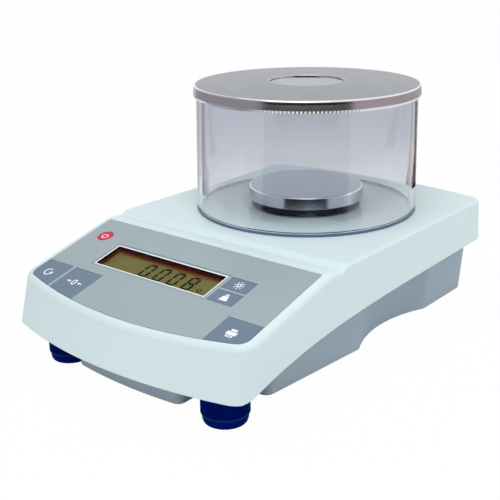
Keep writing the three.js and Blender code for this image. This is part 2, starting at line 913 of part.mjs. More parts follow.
function lowerHousing() {
  const bossLow = floorTop - baseFloor / 2;
  const body = join(
    baseTray(),
    ...rodsAt(frontFootPlaces, insertHole + insertBossWall, insertLow, insertTop, knobRound),
    ...rodsAt(caseScrewPlaces, caseBossRadius, bossLow, caseBossMeet),
    ...rodsAt(chassisScrewPlaces, caseBossRadius, bossLow, chassisLevel - seatGap),
    ...rodsAt(mainPostPlaces, boardPostRadius, bossLow, mainBoardLevel - seatGap),
  );
  return cut(
    body,
    ...rodsAt(frontFootPlaces, insertHole, insertLow - overrun, insertTop + overrun, knobRound),
    ...screwHoles(caseScrewPlaces, baseClearance - overrun, caseScrewHeadTop, screwHeadRadius),
    ...screwHoles(caseScrewPlaces, caseScrewHeadTop - overrun, caseBossMeet + overrun),
    ...screwHoles(chassisScrewPlaces, floorTop, chassisLevel + overrun),
    ...screwHoles(mainPostPlaces, floorTop, mainBoardLevel + overrun),
    ...rodsAt(rearFootPlaces, rearPlugRadius + seatGap, baseClearance - overrun, floorTop + overrun),
    rearWindow(serialX, serialWidth, serialHeight),
    rearWindow(inletX, inletWidth, inletHeight),
  );
}

// Feet

function footKnob([x, y]) {
  const sole = padProud;
  const padSeat = padHeight + seatGap;
  const bore = studRadius + seatGap;
  return turned([
    [0, padSeat],
    [padRadius + seatGap, padSeat],
    [padRadius + seatGap, sole],
    [knobSoleRadius, sole],
    [knobRadius - (knobRadius - knobSoleRadius) * bendShare, sole + knobEdge * bendShare],
    [knobRadius, sole + knobEdge],
    [knobRadius, knobHeight - knobTopEdge],
    [knobRadius - knobTopEdge, knobHeight],
    [bore, knobHeight],
    [bore, studSeatHeight],
    [0, studSeatHeight],
  ], knobRound, x, y);
}

function rearFoot([x, y]) {
  const plugTop = floorTop + rearPlugHeight;
  const underside = baseClearance - seatGap;
  return turned([
    [0, 0],
    [rearFootRadius - seatGap, 0],
    [rearFootRadius, underside],
    [rearPlugRadius, underside],
    [rearPlugRadius, plugTop],
    [0, plugTop],
  ], knobRound, x, y);
}

function footInsert([x, y]) {
  const bore = studRadius + slideGap;
  return turnedRing([
    [bore, insertLow],
    [insertRadius, insertLow],
    [insertRadius, insertTop],
    [bore, insertTop],
  ], knobRound, x, y);
}

// Weighing cell

function chassisPlate() {
  const left = -chassisWidth / 2 + chassisCorner;
  const front = -chassisLength / 2 + chassisCorner;
  const corners = [[-left, front, -1], [-left, -front, 0], [left, -front, 1], [left, front, 2]];
  const outline = corners.flatMap(([x, y, turn]) =>
    arc(x, panY + y, chassisCorner, turn * Math.PI / 2, (turn + 1) * Math.PI / 2, cornerSteps));
  const padHalf = cellPadWidth / 2;
  const padFront = cellFrontY - cellPadLead;
  const pad = box(-padHalf, padHalf, padFront, padFront + cellPadLength, chassisLevel, cellLevel - seatGap);
  const body = join(plate(outline, chassisLevel, chassisTop), pad);
  return cut(
    body,
    ...screwHoles(chassisScrewPlaces, chassisLevel - overrun, chassisTop + overrun),
    ...screwHoles(cellScrewPlaces, chassisLevel - overrun, cellLevel + overrun, largeScrewRadius),
    rod(stopRadius + seatGap, chassisLevel - overrun, chassisTop + overrun, 0, stopY),
  );
}

const cellScrewPlaces = [0, 1].map((i) => [0, cellFrontY + cellScrewEdge + i * cellScrewPitch]);
const armScrewPlaces = [0, 1].map((i) => [0, cellRearY - cellScrewEdge - i * cellScrewPitch / 2]);
const stopY = cellRearY - stopEdge;
const stopTop = cellLevel - carrierTravel;
const cellScrewHeadTop = chassisLevel - seatGap;

function loadCell() {
  const half = cellWidth / 2;
  const middle = cellLevel + cellHeight / 2;
  return cut(
    box(-half, half, cellFrontY, cellRearY, cellLevel, cellTop),
    crossRod(cellBore, cellWidth + overrun, panY - cellBoreReach, middle),
    crossRod(cellBore, cellWidth + overrun, panY + cellBoreReach, middle),
    ...screwHoles(cellScrewPlaces, cellLevel - overrun, middle, largeScrewRadius),
    ...screwHoles(armScrewPlaces, middle, cellTop + overrun),
  );
}

function carrierArm() {
  const half = armWidth / 2;
  const arm = box(-half, half, panY - armOverhang, cellRearY, armLevel, armTop);
  const pad = box(-half, half, cellRearY - armPadLength, cellRearY, armLevel - armPadHeight, armTop);
  return cut(join(arm, pad), ...screwHoles(armScrewPlaces, cellTop, armTop + overrun));
}

function panPost() {
  const low = armTop + seatGap;
  const high = supportTop - supportWall - seatGap;
  return turned([
    [0, low],
    [postFlangeRadius, low],
    [postFlangeRadius, low + postFlangeHeight],
    [postRadius, low + postFlangeHeight],
    [postRadius, high],
    [0, high],
  ], knobRound, 0, panY);
}

function overloadStop() {
  const headLow = chassisTop + seatGap;
  return join(
    rod(stopHeadRadius, headLow, headLow + stopHeadHeight, 0, stopY),
    rod(stopRadius, chassisLevel, stopTop, 0, stopY),
  );
}

// Pan, support and draft shield

function panSupport() {
  const top = supportTop;
  const hubBottom = top - hubDepth;
  const bore = postRadius + seatGap;
  return turned([
    [0, top],
    [supportRadius - supportWall, top],
    [supportRadius, top - supportWall],
    [supportRadius, supportBottom],
    [supportRadius - supportWall, supportBottom],
    [supportRadius - supportWall, top - supportWall],
    [hubRadius, top - supportWall],
    [hubRadius, hubBottom],
    [bore, hubBottom],
    [bore, top - supportWall],
    [0, top - supportWall],
  ], panRound, 0, panY);
}

function weighingPan() {
  const top = panTopHeight;
  const bottom = top - panSkirt;
  const flared = panRadius + panFlare;
  return turned([
    [0, top],
    [panRadius - panEdge, top],
    [panRadius - panEdge * bendShare, top - panEdge * bendShare],
    [panRadius, top - panEdge],
    [flared, bottom],
    [flared - panWall, bottom],
    [panRadius - panWall, top - panEdge],
    [panRadius - panEdge, top - panWall],
    [0, top - panWall],
  ], panRound, 0, panY);
}

function shieldFloor() {
  const top = floorLevel + floorThickness;
  return turnedRing([
    [floorHoleRadius, floorLevel],
    [floorRadius, floorLevel],
    [floorRadius, top],
    [floorHoleRadius, top],
  ], bigRound, 0, panY);
}

function shieldGlass() {
  return turnedRing([
    [shieldRadius - shieldWall, shieldLevel],
    [shieldRadius, shieldLevel],
    [shieldTopRadius, shieldTop - shieldEdge],
    [shieldTopRadius - shieldEdge, shieldTop],
    [shieldTopRadius - shieldWall + shieldEdge, shieldTop],
    [shieldTopRadius - shieldWall, shieldTop - shieldEdge],
  ], bigRound, 0, panY);
}

function shieldLid() {
  const edge = lidEdgeHeight;
  const hem = edge - lidRimHeight;
  const bead = hem + lidBeadHeight;
  const crown = edge + lidDome;
  return turnedRing([
    [lidHoleRadius, crown],
    [lidRadius - lidEdge, edge],
    [lidRadius, edge - lidEdge],
    [lidBeadRadius, bead],
    [lidHemRadius, hem],
    [lidHemRadius - lidWall, hem],
    [lidBeadRadius - lidWall, bead],
    [lidRadius - lidWall, edge - lidEdge],
    [lidRadius - lidEdge, edge - lidWall],
    [lidHoleRadius + lidWall, crown - lidWall],
    [lidHoleRadius + lidWall, crown - lidHoleLip],
    [lidHoleRadius, crown - lidHoleLip],
  ], bigRound, 0, panY);
}

// Main board, sockets and leads

const socketRearY = baseRearY - socketInset;
const socketLevel = mainBoardTop + seatGap;

function rearWindow(x, width, height) {
  const half = width / 2 + slideGap;
  const depth = baseWall + caseWall;
  const [low, high] = [socketLevel - slideGap, socketLevel + height + slideGap];
  return box(x - half, x + half, baseRearY - depth - overrun, baseRearY + depth, low, high);
}

function mainBoard() {
  const half = mainBoardWidth / 2;
  const rear = mainBoardFrontY + mainBoardDepth;
  const middleY = (mainBoardFrontY + rear) / 2;
  const board = box(-half, half, mainBoardFrontY, rear, mainBoardLevel, mainBoardTop);
  const chipHalf = chipSize / 2;
  const chipPlace = [chipX - chipHalf, chipX + chipHalf, middleY - chipHalf, middleY + chipHalf];
  const chip = box(...chipPlace, mainBoardLevel, mainBoardTop + chipHeight);
  const holes = screwHoles(mainPostPlaces, mainBoardLevel - overrun, mainBoardTop + overrun);
  return cut(join(board, chip, ribbonHeader()), ...holes);
}

function ribbonHeader() {
  const half = headerWidth / 2;
  const front = mainBoardFrontY;
  const top = mainBoardTop + headerHeight;
  return box(ribbonX - half, ribbonX + half, front, front + headerDepth, mainBoardLevel, top);
}

function shieldCan() {
  const half = canWidth / 2;
  const front = mainBoardFrontY + canSetback;
  return box(canX - half, canX + half, front, front + canDepth, socketLevel, socketLevel + canHeight);
}

function powerInlet() {
  const half = inletWidth / 2;
  const middle = socketLevel + inletHeight / 2;
  const [front, top] = [socketRearY - inletDepth, socketLevel + inletHeight];
  const body = box(inletX - half, inletX + half, front, socketRearY, socketLevel, top);
  const boreStart = socketRearY - inletBoreDepth;
  const hollow = cut(body, rearRod(inletBore, boreStart, socketRearY + overrun, inletX, middle));
  const pin = rearRod(inletPin, boreStart - overrun, socketRearY - inletPinInset, inletX, middle);
  return join(hollow, pin);
}

function serialPort() {
  const half = serialWidth / 2;
  const middle = socketLevel + serialHeight / 2;
  const [front, top] = [socketRearY - serialDepth, socketLevel + serialHeight];
  const body = box(serialX - half, serialX + half, front, socketRearY, socketLevel, top);
  const [wide, tall] = [serialMouthWidth / 2, serialMouthHeight / 2];
  const narrow = wide - serialTaper;
  const mouth = [[-wide, tall], [wide, tall], [narrow, -tall], [-narrow, -tall]];
  const socket = plate(mouth, 0, serialMouthDepth + overrun);
  return cut(body, socket.rotateX(Math.PI / 2).translate(serialX, socketRearY + overrun, middle));
}

// A flat ribbon from the display board down to the floor and back up to the main board
function displayRibbon() {
  const startY = -displayBoardStart - ribbonRun * bendShare;
  const start = new THREE.Vector3(0, startY, boardTop - boardThickness - looseGap);
  start.applyMatrix4(panel.matrixWorld);
  const end = mainBoardFrontY - looseGap;
  const route = new THREE.CatmullRomCurve3([
    start,
    new THREE.Vector3(0, start.y + ribbonRun, (start.z + ribbonLow) / 2),
    new THREE.Vector3(0, start.y + ribbonReach, ribbonLow),
    new THREE.Vector3(0, end - ribbonReach, ribbonLow),
    new THREE.Vector3(0, end - ribbonRun / 2, ribbonLow),
    new THREE.Vector3(0, end, mainBoardTop + headerHeight / 2),
  ]);
  const middle = route.getPoints(leadSteps).map(({ y, z }) => [y, z]);
  const side = (sign) => middle.map((point, i) => {
    const before = middle[Math.max(i - 1, 0)];
    const after = middle[Math.min(i + 1, middle.length - 1)];
    const [outY, outZ] = outwardOf(before, after);
    const reach = sign * ribbonThickness / 2;
    return [point[0] + outY * reach, point[1] + outZ * reach];
  });
  const strip = plate([...side(1), ...side(-1).reverse()], -ribbonWidth / 2, ribbonWidth / 2);
  const upright = new THREE.Matrix4().makeBasis(
    new THREE.Vector3(0, 1, 0),
    new THREE.Vector3(0, 0, 1),
    new THREE.Vector3(1, 0, 0),
  );
  return strip.applyMatrix4(upright).translate(ribbonX, 0, 0);
}

function cellLead() {
  const startX = cellWidth / 2 + leadRadius;
  const runX = startX + leadSide;
  const low = chassisTop + leadSide;
  const route = new THREE.CatmullRomCurve3([
    new THREE.Vector3(startX, cellFrontY + cellPadLength, low),
    new THREE.Vector3(runX, cellFrontY + cellPadLength + leadSide, low),
    new THREE.Vector3(runX, cellRearY - leadSide, low),
    new THREE.Vector3(runX, mainBoardFrontY + headerDepth, mainBoardTop + leadRise),
  ]);
  const section = new THREE.Shape(arc(0, 0, leadRadius, 0, 2 * Math.PI, leadSides).slice(1)
    .map(([x, y]) => new THREE.Vector2(x, y)));
  return new THREE.ExtrudeGeometry(section, { steps: leadSteps, bevelEnabled: false, extrudePath: route });
}

// Assembly

const balance = new THREE.Group();

function add(name, geometry, material, group = balance) {
  const mesh = new THREE.Mesh(facingOut(bare(geometry)), material);
  mesh.name = name;
  group.add(mesh);
}

const leftRight = ['left', 'right'];

add('upper_housing', upperHousing(), white);
add('lower_housing', lowerHousing(), grey);
caseScrewPlaces.forEach(([x, y], i) => {
  add(`case_screw_${i + 1}`, screw(x, y, caseScrewHeadTop - seatGap, caseScrewLength), steel);
});

add('panel_overlay', panelOverlay(), overlayGrey, panel);
add('power_key', powerKey(), red, panel);
Object.entries(keyPlaces).forEach(([name, place]) => {
  add(name, panelKey(place), place.material, panel);
});
['power_key', ...Object.keys(keyPlaces)].forEach((name, i) => {
  add(name.replace('_key', '_switch'), keySwitch(plungerPlaces[i]), black, panel);
});
add('display_bezel', displayBezel(), frameWhite, panel);
add('display_window', displayWindow(), clear, panel);
add('lcd_panel', lcdPanel(), olive, panel);
add('display_board', displayBoard(), boardGreen, panel);
boardPosts.forEach(([x, y], i) => {
  add(`display_board_screw_${i + 1}`, screw(x, y, boardScrewTop, boardScrewLength), steel, panel);
});
balance.add(panel);

frontFootPlaces.forEach(([x, y], i) => {
  const foot = `front_${leftRight[i]}_foot`;
  const studTop = studSeatHeight + studLength;
  add(`${foot}_knob`, footKnob([x, y]), navy);
  add(`${foot}_pad`, rod(padRadius, 0, padHeight, x, y, knobRound), rubber);
  add(`${foot}_stud`, rod(studRadius, studSeatHeight + seatGap, studTop, x, y), steel);
  add(`${foot}_insert`, footInsert([x, y]), brass);
});
rearFootPlaces.forEach((place, i) => {
  add(`rear_${leftRight[i]}_foot`, rearFoot(place), rubber);
});

add('chassis_plate', chassisPlate(), aluminium);
chassisScrewPlaces.forEach(([x, y], i) => {
  add(`chassis_screw_${i + 1}`, downScrew(x, y, chassisTop + seatGap, chassisScrewLength), steel);
});
add('load_cell', loadCell(), aluminium);
cellScrewPlaces.forEach(([x, y], i) => {
  const cellScrew = screw(x, y, cellScrewHeadTop, cellScrewLength, largeScrewRadius, largeScrewHeadRadius);
  add(`load_cell_screw_${i + 1}`, cellScrew, steel);
});
add('overload_stop_screw', overloadStop(), steel);
add('load_cell_lead', cellLead(), black);

add('carrier_arm', carrierArm(), aluminium);
armScrewPlaces.forEach(([x, y], i) => {
  add(`carrier_screw_${i + 1}`, downScrew(x, y, armTop + seatGap, chassisScrewLength), steel);
});
add('pan_post', panPost(), steel);
add('pan_support', panSupport(), mirrorSteel);
add('weighing_pan', weighingPan(), steel);

add('shield_floor', shieldFloor(), clear);
add('shield_glass', shieldGlass(), clear);
add('shield_lid', shieldLid(), steel);

add('main_board', mainBoard(), boardGreen);
mainPostPlaces.forEach(([x, y], i) => {
  add(`main_board_screw_${i + 1}`, downScrew(x, y, mainBoardTop + seatGap, boardScrewLength), steel);
});
add('amplifier_shield_can', shieldCan(), steel);
add('power_inlet', powerInlet(), black);
add('serial_port', serialPort(), steel);
add('display_ribbon', displayRibbon(), frameWhite);

export default balance;
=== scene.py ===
# The looks of an electronic balance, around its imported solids.
# Lengths are millimetres in the part's frame and become metres when a mesh is made.

import math

import bmesh
import bpy
from mathutils import Matrix, Vector


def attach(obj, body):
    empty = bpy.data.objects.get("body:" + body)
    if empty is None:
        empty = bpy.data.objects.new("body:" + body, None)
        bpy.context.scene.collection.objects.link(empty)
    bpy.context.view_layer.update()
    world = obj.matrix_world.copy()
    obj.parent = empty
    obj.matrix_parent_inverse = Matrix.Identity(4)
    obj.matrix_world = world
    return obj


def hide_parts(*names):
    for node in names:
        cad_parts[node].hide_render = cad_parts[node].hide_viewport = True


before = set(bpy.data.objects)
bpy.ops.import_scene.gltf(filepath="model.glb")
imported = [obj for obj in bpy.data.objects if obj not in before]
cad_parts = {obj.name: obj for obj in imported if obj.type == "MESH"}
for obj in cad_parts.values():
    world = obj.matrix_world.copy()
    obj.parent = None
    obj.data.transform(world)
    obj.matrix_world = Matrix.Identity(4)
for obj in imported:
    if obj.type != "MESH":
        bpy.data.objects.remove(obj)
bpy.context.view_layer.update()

mm = 0.001

# Camera at the photograph's viewing angle, with its angles in degrees
camera_place = (404.684, -503.551, 286.66)
camera_azimuth = 39.8319
camera_elevation = 19.2863
camera_roll = -0.8276
camera_sensor = 36
camera_lens = 63.992
camera_shift = (0.005735, 0.003783)


def turned_by(degrees, axis):
    return Matrix.Rotation(math.radians(degrees), 4, axis)


def add_camera():
    camera = bpy.data.objects.new("camera", bpy.data.cameras.new("camera"))
    bpy.context.scene.collection.objects.link(camera)
    camera.data.sensor_width = camera_sensor
    camera.data.lens = camera_lens
    camera.data.shift_x, camera.data.shift_y = camera_shift
    place = Matrix.Translation(Vector(camera_place) * mm)
    tilt = turned_by(90 - camera_elevation, "X") @ turned_by(camera_roll, "Z")
    camera.matrix_world = place @ turned_by(camera_azimuth, "Z") @ tilt
    bpy.context.scene.camera = camera


add_camera()

# Case
case_length = 337
case_width = 215
case_wall = 3.5
deck_height = 86
side_draft = 1.5
front_lean = 8
rear_draft = 1.5
front_bow = 365
rear_bow = 470
front_corner = 13
front_rim_corner = 15
rear_corner = 12
front_edge_radius = 5
rear_edge_radius = 2.5
lower_lip = 0.9
case_front = -case_length / 2
case_rear = case_length / 2

# Lower edge of the upper housing
front_edge_height = 28
edge_rise = 6
edge_sweep = 19
sweep_power = 5
sweep_inset = 18.5
sweep_start = case_front + sweep_inset
sweep_end = case_rear - sweep_inset

# Step between the control panel and the deck
panel_slope = math.radians(14.7)
panel_back = -64
panel_back_height = 84
ridge_y = -58
ridge_height = 84.8
valley_y = -48.5
valley_height = 83
deck_front = -42

# Control panel, measured along its slope from its back edge
panel_half = 100
panel_depth = 94.7
panel_bow = 359
panel_corner = 7.5
panel_back_corner = 1.5
overlay_thickness = 1.5
overlay_inset = 0.3
overlay_edge = 0.25
recess_flare = 0.5
seat_gap = 0.3

# Fineness
bow_steps = 20
corner_steps = 10
fillet_steps = 8
edge_steps = 5
lip_steps = 4
waist_steps = 24
step_spacing = 1.2
side_spacing = 16
round_facets = 160
foot_facets = 72
button_facets = 64
disc_facets = 48
screw_facets = 36
hole_facets = 32
small_facets = 24
pin_facets = 12
smooth_angle = math.radians(32)
bevel_angle = math.radians(35)
weld = 0.002

# How far a cutter runs past what it cuts
overrun = 2
panel_cut_low = -12
panel_cut_top = 8

# Bevels
hair_bevel = 0.15
fine_bevel = 0.2
port_bevel = 0.25
jack_bevel = 0.3
bevel_segments = 2
key_bevel_segments = 3


# Meshes

def mesh_piece(name, points, faces):
    mesh = bpy.data.meshes.new(name)
    mesh.from_pydata([(x * mm, y * mm, z * mm) for x, y, z in points], [], faces)
    work = bmesh.new()
    work.from_mesh(mesh)
    bmesh.ops.remove_doubles(work, verts=work.verts, dist=weld * mm)
    bmesh.ops.recalc_face_normals(work, faces=work.faces)
    work.to_mesh(mesh)
    work.free()
    piece = bpy.data.objects.new(name, mesh)
    bpy.context.scene.collection.objects.link(piece)
    return piece


def flat_cap(start, count):
    return [list(range(start, start + count))]


# Closes a ring that is mirrored about X = 0 with strips from side to side.
def strip_cap(start, count):
    faces = []
    for i in range(count // 2):
        right, left = start + i, start + (count - i) % count
        corners = dict.fromkeys([right, right + 1, start + count - i - 1, left])
        faces.append(list(corners))
    return faces


def band_faces(count, bands, levels):
    faces = []
    for level in range(bands):
        low, high = level * count, (level + 1) % levels * count
        for i in range(count):
            after = (i + 1) % count
            faces.append([low + i, low + after, high + after, high + i])
    return faces


# Points and faces through the rings, with caps on the first and the last one
def capped_shape(rings, cap=flat_cap):
    count = len(rings[0])
    faces = band_faces(count, len(rings) - 1, len(rings))
    faces += cap(0, count) + cap((len(rings) - 1) * count, count)
    return [point for ring in rings for point in ring], faces


# Points and faces through the rings, with the last one joined to the first one
def closed_shape(rings):
    return [point for ring in rings for point in ring], band_faces(len(rings[0]), len(rings), len(rings))


def loft(name, rings, cap=flat_cap):
    return mesh_piece(name, *capped_shape(rings, cap))


def closed_loft(name, rings):
    return mesh_piece(name, *closed_shape(rings))


def merged(shapes):
    points, faces = [], []
    for shape_points, shape_faces in shapes:
        faces += [[index + len(points) for index in face] for face in shape_faces]
        points += shape_points
    return points, faces


def circle(radius, height, centre, facets):
    turns = [2 * math.pi * i / facets for i in range(facets)]
    return [(centre[0] + radius * math.cos(t), centre[1] + radius * math.sin(t), height) for t in turns]


def circles(profile, centre, facets):
    return [circle(radius, height, centre, facets) for radius, height in profile]


# A ring with teeth, given as their number and as pairs of (share of the pitch, share of the depth)
def toothed_ring(teeth, centre, radius, depth, height):
    count, shape_shares = teeth
    ring = []
    for i in range(count):
        for pitch_share, depth_share in shape_shares:
            angle = 2 * math.pi * (i + pitch_share) / count
            reach = radius - depth * depth_share
            ring.append((centre[0] + reach * math.cos(angle), centre[1] + reach * math.sin(angle), height))
    return ring


# Rounds the corners of a profile or outline given as (x, y, radius).
def filleted(corners, steps=edge_steps):
    points = []
    for i, (x, y, radius) in enumerate(corners):
        if radius == 0:
            points.append((x, y))
            continue
        here = Vector((x, y))
        before, after = corners[i - 1], corners[(i + 1) % len(corners)]
        back = (Vector(before[:2]) - here).normalized()
        ahead = (Vector(after[:2]) - here).normalized()
        half_angle = back.angle(ahead) / 2
        centre = here + (back + ahead).normalized() * radius / math.sin(half_angle)
        start = here + back * radius / math.tan(half_angle) - centre
        end = here + ahead * radius / math.tan(half_angle) - centre
        first = math.atan2(start.y, start.x)
        sweep = math.remainder(math.atan2(end.y, end.x) - first, 2 * math.pi)
        points += arc(centre.x, centre.y, radius, first, first + sweep, steps)
    return points


def carve(piece, other, operation="DIFFERENCE"):
    modifier = piece.modifiers.new("carve", "BOOLEAN")
    modifier.operation = operation
    modifier.solver = "MANIFOLD"
    modifier.object = other
    graph = bpy.context.evaluated_depsgraph_get()
    mesh = bpy.data.meshes.new_from_object(piece.evaluated_get(graph))
    piece.modifiers.clear()
    piece.data = mesh
    bpy.data.objects.remove(other)


def smooth(piece):
    piece.data.shade_smooth()
    piece.data.set_sharp_from_angle(angle=smooth_angle)
    modifier = piece.modifiers.new("even_normals", "WEIGHTED_NORMAL")
    modifier.keep_sharp = True


def bevelled(piece, width, segments=bevel_segments):
    modifier = piece.modifiers.new("soft_edges", "BEVEL")
    modifier.width = width * mm
    modifier.segments = segments
    modifier.limit_method = "ANGLE"
    modifier.angle_limit = bevel_angle
    return piece


# Dresses a piece in its finishes. Where it has several, finish_at gives the one at a face's centre.
def dress(piece, body, finishes, replaced=None, finish_at=None):
    piece.data.materials.clear()
    for finish in finishes:
        piece.data.materials.append(materials[finish])
    for face in piece.data.polygons:
        finish = finish_at(face.center / mm) if finish_at else finishes[0]
        face.material_index = finishes.index(finish)
    smooth(piece)
    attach(piece, body)
    if replaced:
        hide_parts(replaced)


# Outlines seen from above, as lists of (x, y)

def mirrored(half):
    return half + [(-x, y) for x, y in reversed(half[1:-1])]


def arc(centre_x, centre_y, radius, start, end, steps):
    turns = [start + (end - start) * i / steps for i in range(steps + 1)]
    return [(centre_x + radius * math.cos(t), centre_y + radius * math.sin(t)) for t in turns]


# Half of a bowed end with a round corner, from its middle to where the side starts
def bowed_end(half_width, end_y, bow, corner, facing):
    reach = math.sqrt((bow - corner) ** 2 - (half_width - corner) ** 2)
    bow_y = end_y - facing * bow
    turn = math.atan2(half_width - corner, reach)
    middle = facing * math.pi / 2
    bow_points = arc(0, bow_y, bow, middle, middle - facing * turn, bow_steps)
    corner_y = bow_y + facing * reach
    rounding = arc(half_width - corner, corner_y, corner, middle - facing * turn, 0, corner_steps)
    return bow_points + rounding[1:]


def outward(start, end):
    dx, dy = end[0] - start[0], end[1] - start[1]
    length = math.hypot(dx, dy)
    return dy / length, -dx / length


def inset(outline, distance):
    points = []
    for i, (x, y) in enumerate(outline):
        far = distance((x, y)) if callable(distance) else distance
        before = outward(outline[i - 1], (x, y))
        after = outward((x, y), outline[(i + 1) % len(outline)])
        scale = far / (1 + before[0] * after[0] + before[1] * after[1])
        points.append((x - scale * (before[0] + after[0]), y - scale * (before[1] + after[1])))
    return points


def raised(outline, height):
    return [(x, y, height(y) if callable(height) else height) for x, y in outline]


def between(low, high, share):
    return [(a[0] + (b[0] - a[0]) * share, a[1] + (b[1] - a[1]) * share) for a, b in zip(low, high)]


def spread(start, end, spacing):
    count = max(1, math.ceil((end - start) / spacing))
    return [start + (end - start) * i / count for i in range(count)]


def box_outline(place, margin=0, corner=0):
    left, right, front, rear = place
    low_x, high_x = left - margin, right + margin
    low_y, high_y = front - margin, rear + margin
    corners = [(low_x, low_y), (high_x, low_y), (high_x, high_y), (low_x, high_y)]
    return filleted([(x, y, corner) for x, y in corners])


def disc_outline(place, radius, facets=disc_facets):
    return [point[:2] for point in circle(radius, 0, place, facets)]


def block(outline, low, high):
    return loft("cutter", [raised(outline, low), raised(outline, high)])


# Heights along the case

def eased(low, high, start, end, y):
    share = min(max((y - start) / (end - start), 0), 1)
    return low + (high - low) * share * share * (3 - 2 * share)


def panel_height(y):
    return panel_back_height + overlay_inset + (y - panel_back) * math.tan(panel_slope)


def top_height(y):
    if y <= panel_back:
        return panel_height(y)
    if y <= ridge_y:
        return eased(panel_height(panel_back), ridge_height, panel_back, ridge_y, y)
    if y <= valley_y:
        return eased(ridge_height, valley_height, ridge_y, valley_y, y)
    return eased(valley_height, deck_height, valley_y, deck_front, y)


def parting_height(y):
    share = min(max((sweep_end - y) / (sweep_end - sweep_start), 0), 1)
    rear = front_edge_height + edge_rise + edge_sweep
    return rear - edge_rise * share - edge_sweep * share ** sweep_power


def edge_radius(y):
    return eased(front_edge_radius, rear_edge_radius, panel_back, deck_front, y)


# Display window, and the keys as (left, right, front, rear) on the panel
window = (-61.5, 42.1, -51.2, -27.2)
bezel_rim = 2.2
bezel_depth = 4.2
power_place = (-83.8, -20.5)
power_radius = 6
power_edge = ((0, 0.35), (0.1, 0.12), (0.35, 0))
key_thickness = 1.2
key_corner = 0.8
key_cut = 6
key_boxes = {
    "mode_key": (-102, -73.7, -97, -61.8),
    "tare_key": (-70.8, -42.9, -97, -61.8),
    "print_key": (72.6, 102, -97, -61.8),
    "backlight_key": (46.2, 67.6, -38.7, -25.5),
    "calibrate_key": (46.2, 67.6, -53.4, -40.6),
}
key_plungers = {
    "power_key": power_place,
    "mode_key": (-86.85, -74.2),
    "tare_key": (-56.85, -76.2),
    "print_key": (86.3, -74.2),
    "backlight_key": (56.9, -32.1),
    "calibrate_key": (56.9, -47),
}
plunger_radius = 2.5
plunger_gap = 0.6
plunger_start = 0.6
plunger_end = 4.1


# Shapes on the panel, with levels along its normal

panel_turn = Matrix.Translation((0, panel_back, panel_back_height)) @ Matrix.Rotation(panel_slope, 4, "X")


def on_panel(points):
    return [tuple(panel_turn @ Vector(point)) for point in points]


def panel_rings(*levels):
    return [on_panel(raised(outline, level)) for outline, level in levels]


def panel_block(outline, low=panel_cut_low, high=panel_cut_top):
    return loft("cutter", panel_rings((outline, low), (outline, high)))


def overlay_outline(margin):
    half = panel_half + margin
    front = bowed_end(half, -panel_depth - margin, panel_bow, panel_corner + margin, -1)
    corner_x, corner_y = half - panel_back_corner, margin - panel_back_corner
    back = arc(corner_x, corner_y, panel_back_corner, 0, math.pi / 2, corner_steps)
    return mirrored(front + back + [(0, margin)])


# Upper housing, with a collar round the pan's post
pan_axis = (0, 56)
collar_radius = 12.5
collar_wall = 3
collar_height = 4.5
collar_sink = 0.5
collar_edge = 0.6


def case_outline(half_width, front_y, rear_y, corner):
    front = bowed_end(half_width, front_y, front_bow, corner, -1)
    rear = bowed_end(half_width, rear_y, rear_bow, rear_corner, 1)[::-1]
    places = spread(front[-1][1], panel_back, side_spacing)[1:]
    places += spread(panel_back, deck_front, step_spacing)
    places += spread(deck_front, rear[0][1], side_spacing)
    return mirrored(front + [(half_width, y) for y in places] + rear)


rim_outline = case_outline(case_width / 2, case_front, case_rear, front_rim_corner)
shoulder_outline = case_outline(
    case_width / 2 - side_draft,
    case_front + front_lean,
    case_rear - rear_draft,
    front_corner,
)


def rounding_angles(steps):
    return [math.pi / 2 * i / steps for i in range(steps + 1)]


def lower_lip_rings():
    rings = []
    for angle in rounding_angles(lip_steps):
        ring = inset(rim_outline, lower_lip * (1 - math.sin(angle)))
        rings.append(raised(ring, lambda y, a=angle: parting_height(y) + lower_lip * (1 - math.cos(a))))
    return rings


def rounded_edge_rings():
    rings = []
    for angle in rounding_angles(fillet_steps):
        ring = inset(shoulder_outline, lambda point, a=angle: edge_radius(point[1]) * (1 - math.cos(a)))
        rings.append(raised(ring, lambda y, a=angle: top_height(y) - edge_radius(y) * (1 - math.sin(a))))
    return rings


def add_upper_housing():
    inner_top = raised(inset(shoulder_outline, case_wall), lambda y: top_height(y) - case_wall)
    inner_rim = raised(inset(rim_outline, case_wall), parting_height)
    rings = [inner_top, inner_rim] + lower_lip_rings() + rounded_edge_rings()
    shell = loft("case_shell", rings, strip_cap)
    collar_low = deck_height - case_wall + collar_sink
    collar_top = deck_height + collar_height
    bore = collar_radius - collar_wall
    collar = filleted([
        (bore + collar_sink, collar_low, 0),
        (collar_radius, collar_low, 0),
        (collar_radius, collar_top, collar_edge),
        (bore, collar_top, collar_edge),
    ])
    carve(shell, closed_loft("cutter", circles(collar, pan_axis, foot_facets)), "UNION")
    bore_low = deck_height - case_wall - overrun
    carve(shell, block(disc_outline(pan_axis, bore, foot_facets), bore_low, collar_top + overrun))
    recess = overlay_outline(seat_gap)
    flared = inset(recess, -recess_flare)
    carve(shell, loft("cutter", panel_rings(
        (recess, -overlay_thickness - seat_gap),
        (recess, overlay_inset - recess_flare),
        (flared, overlay_inset),
        (flared, panel_cut_top),
    )))
    carve(shell, panel_block(box_outline(window, bezel_rim + seat_gap)))
    for place in key_plungers.values():
        carve(shell, panel_block(disc_outline(place, plunger_radius + plunger_gap, small_facets)))
    dress(shell, "case", ["shell_white"], "upper_housing")


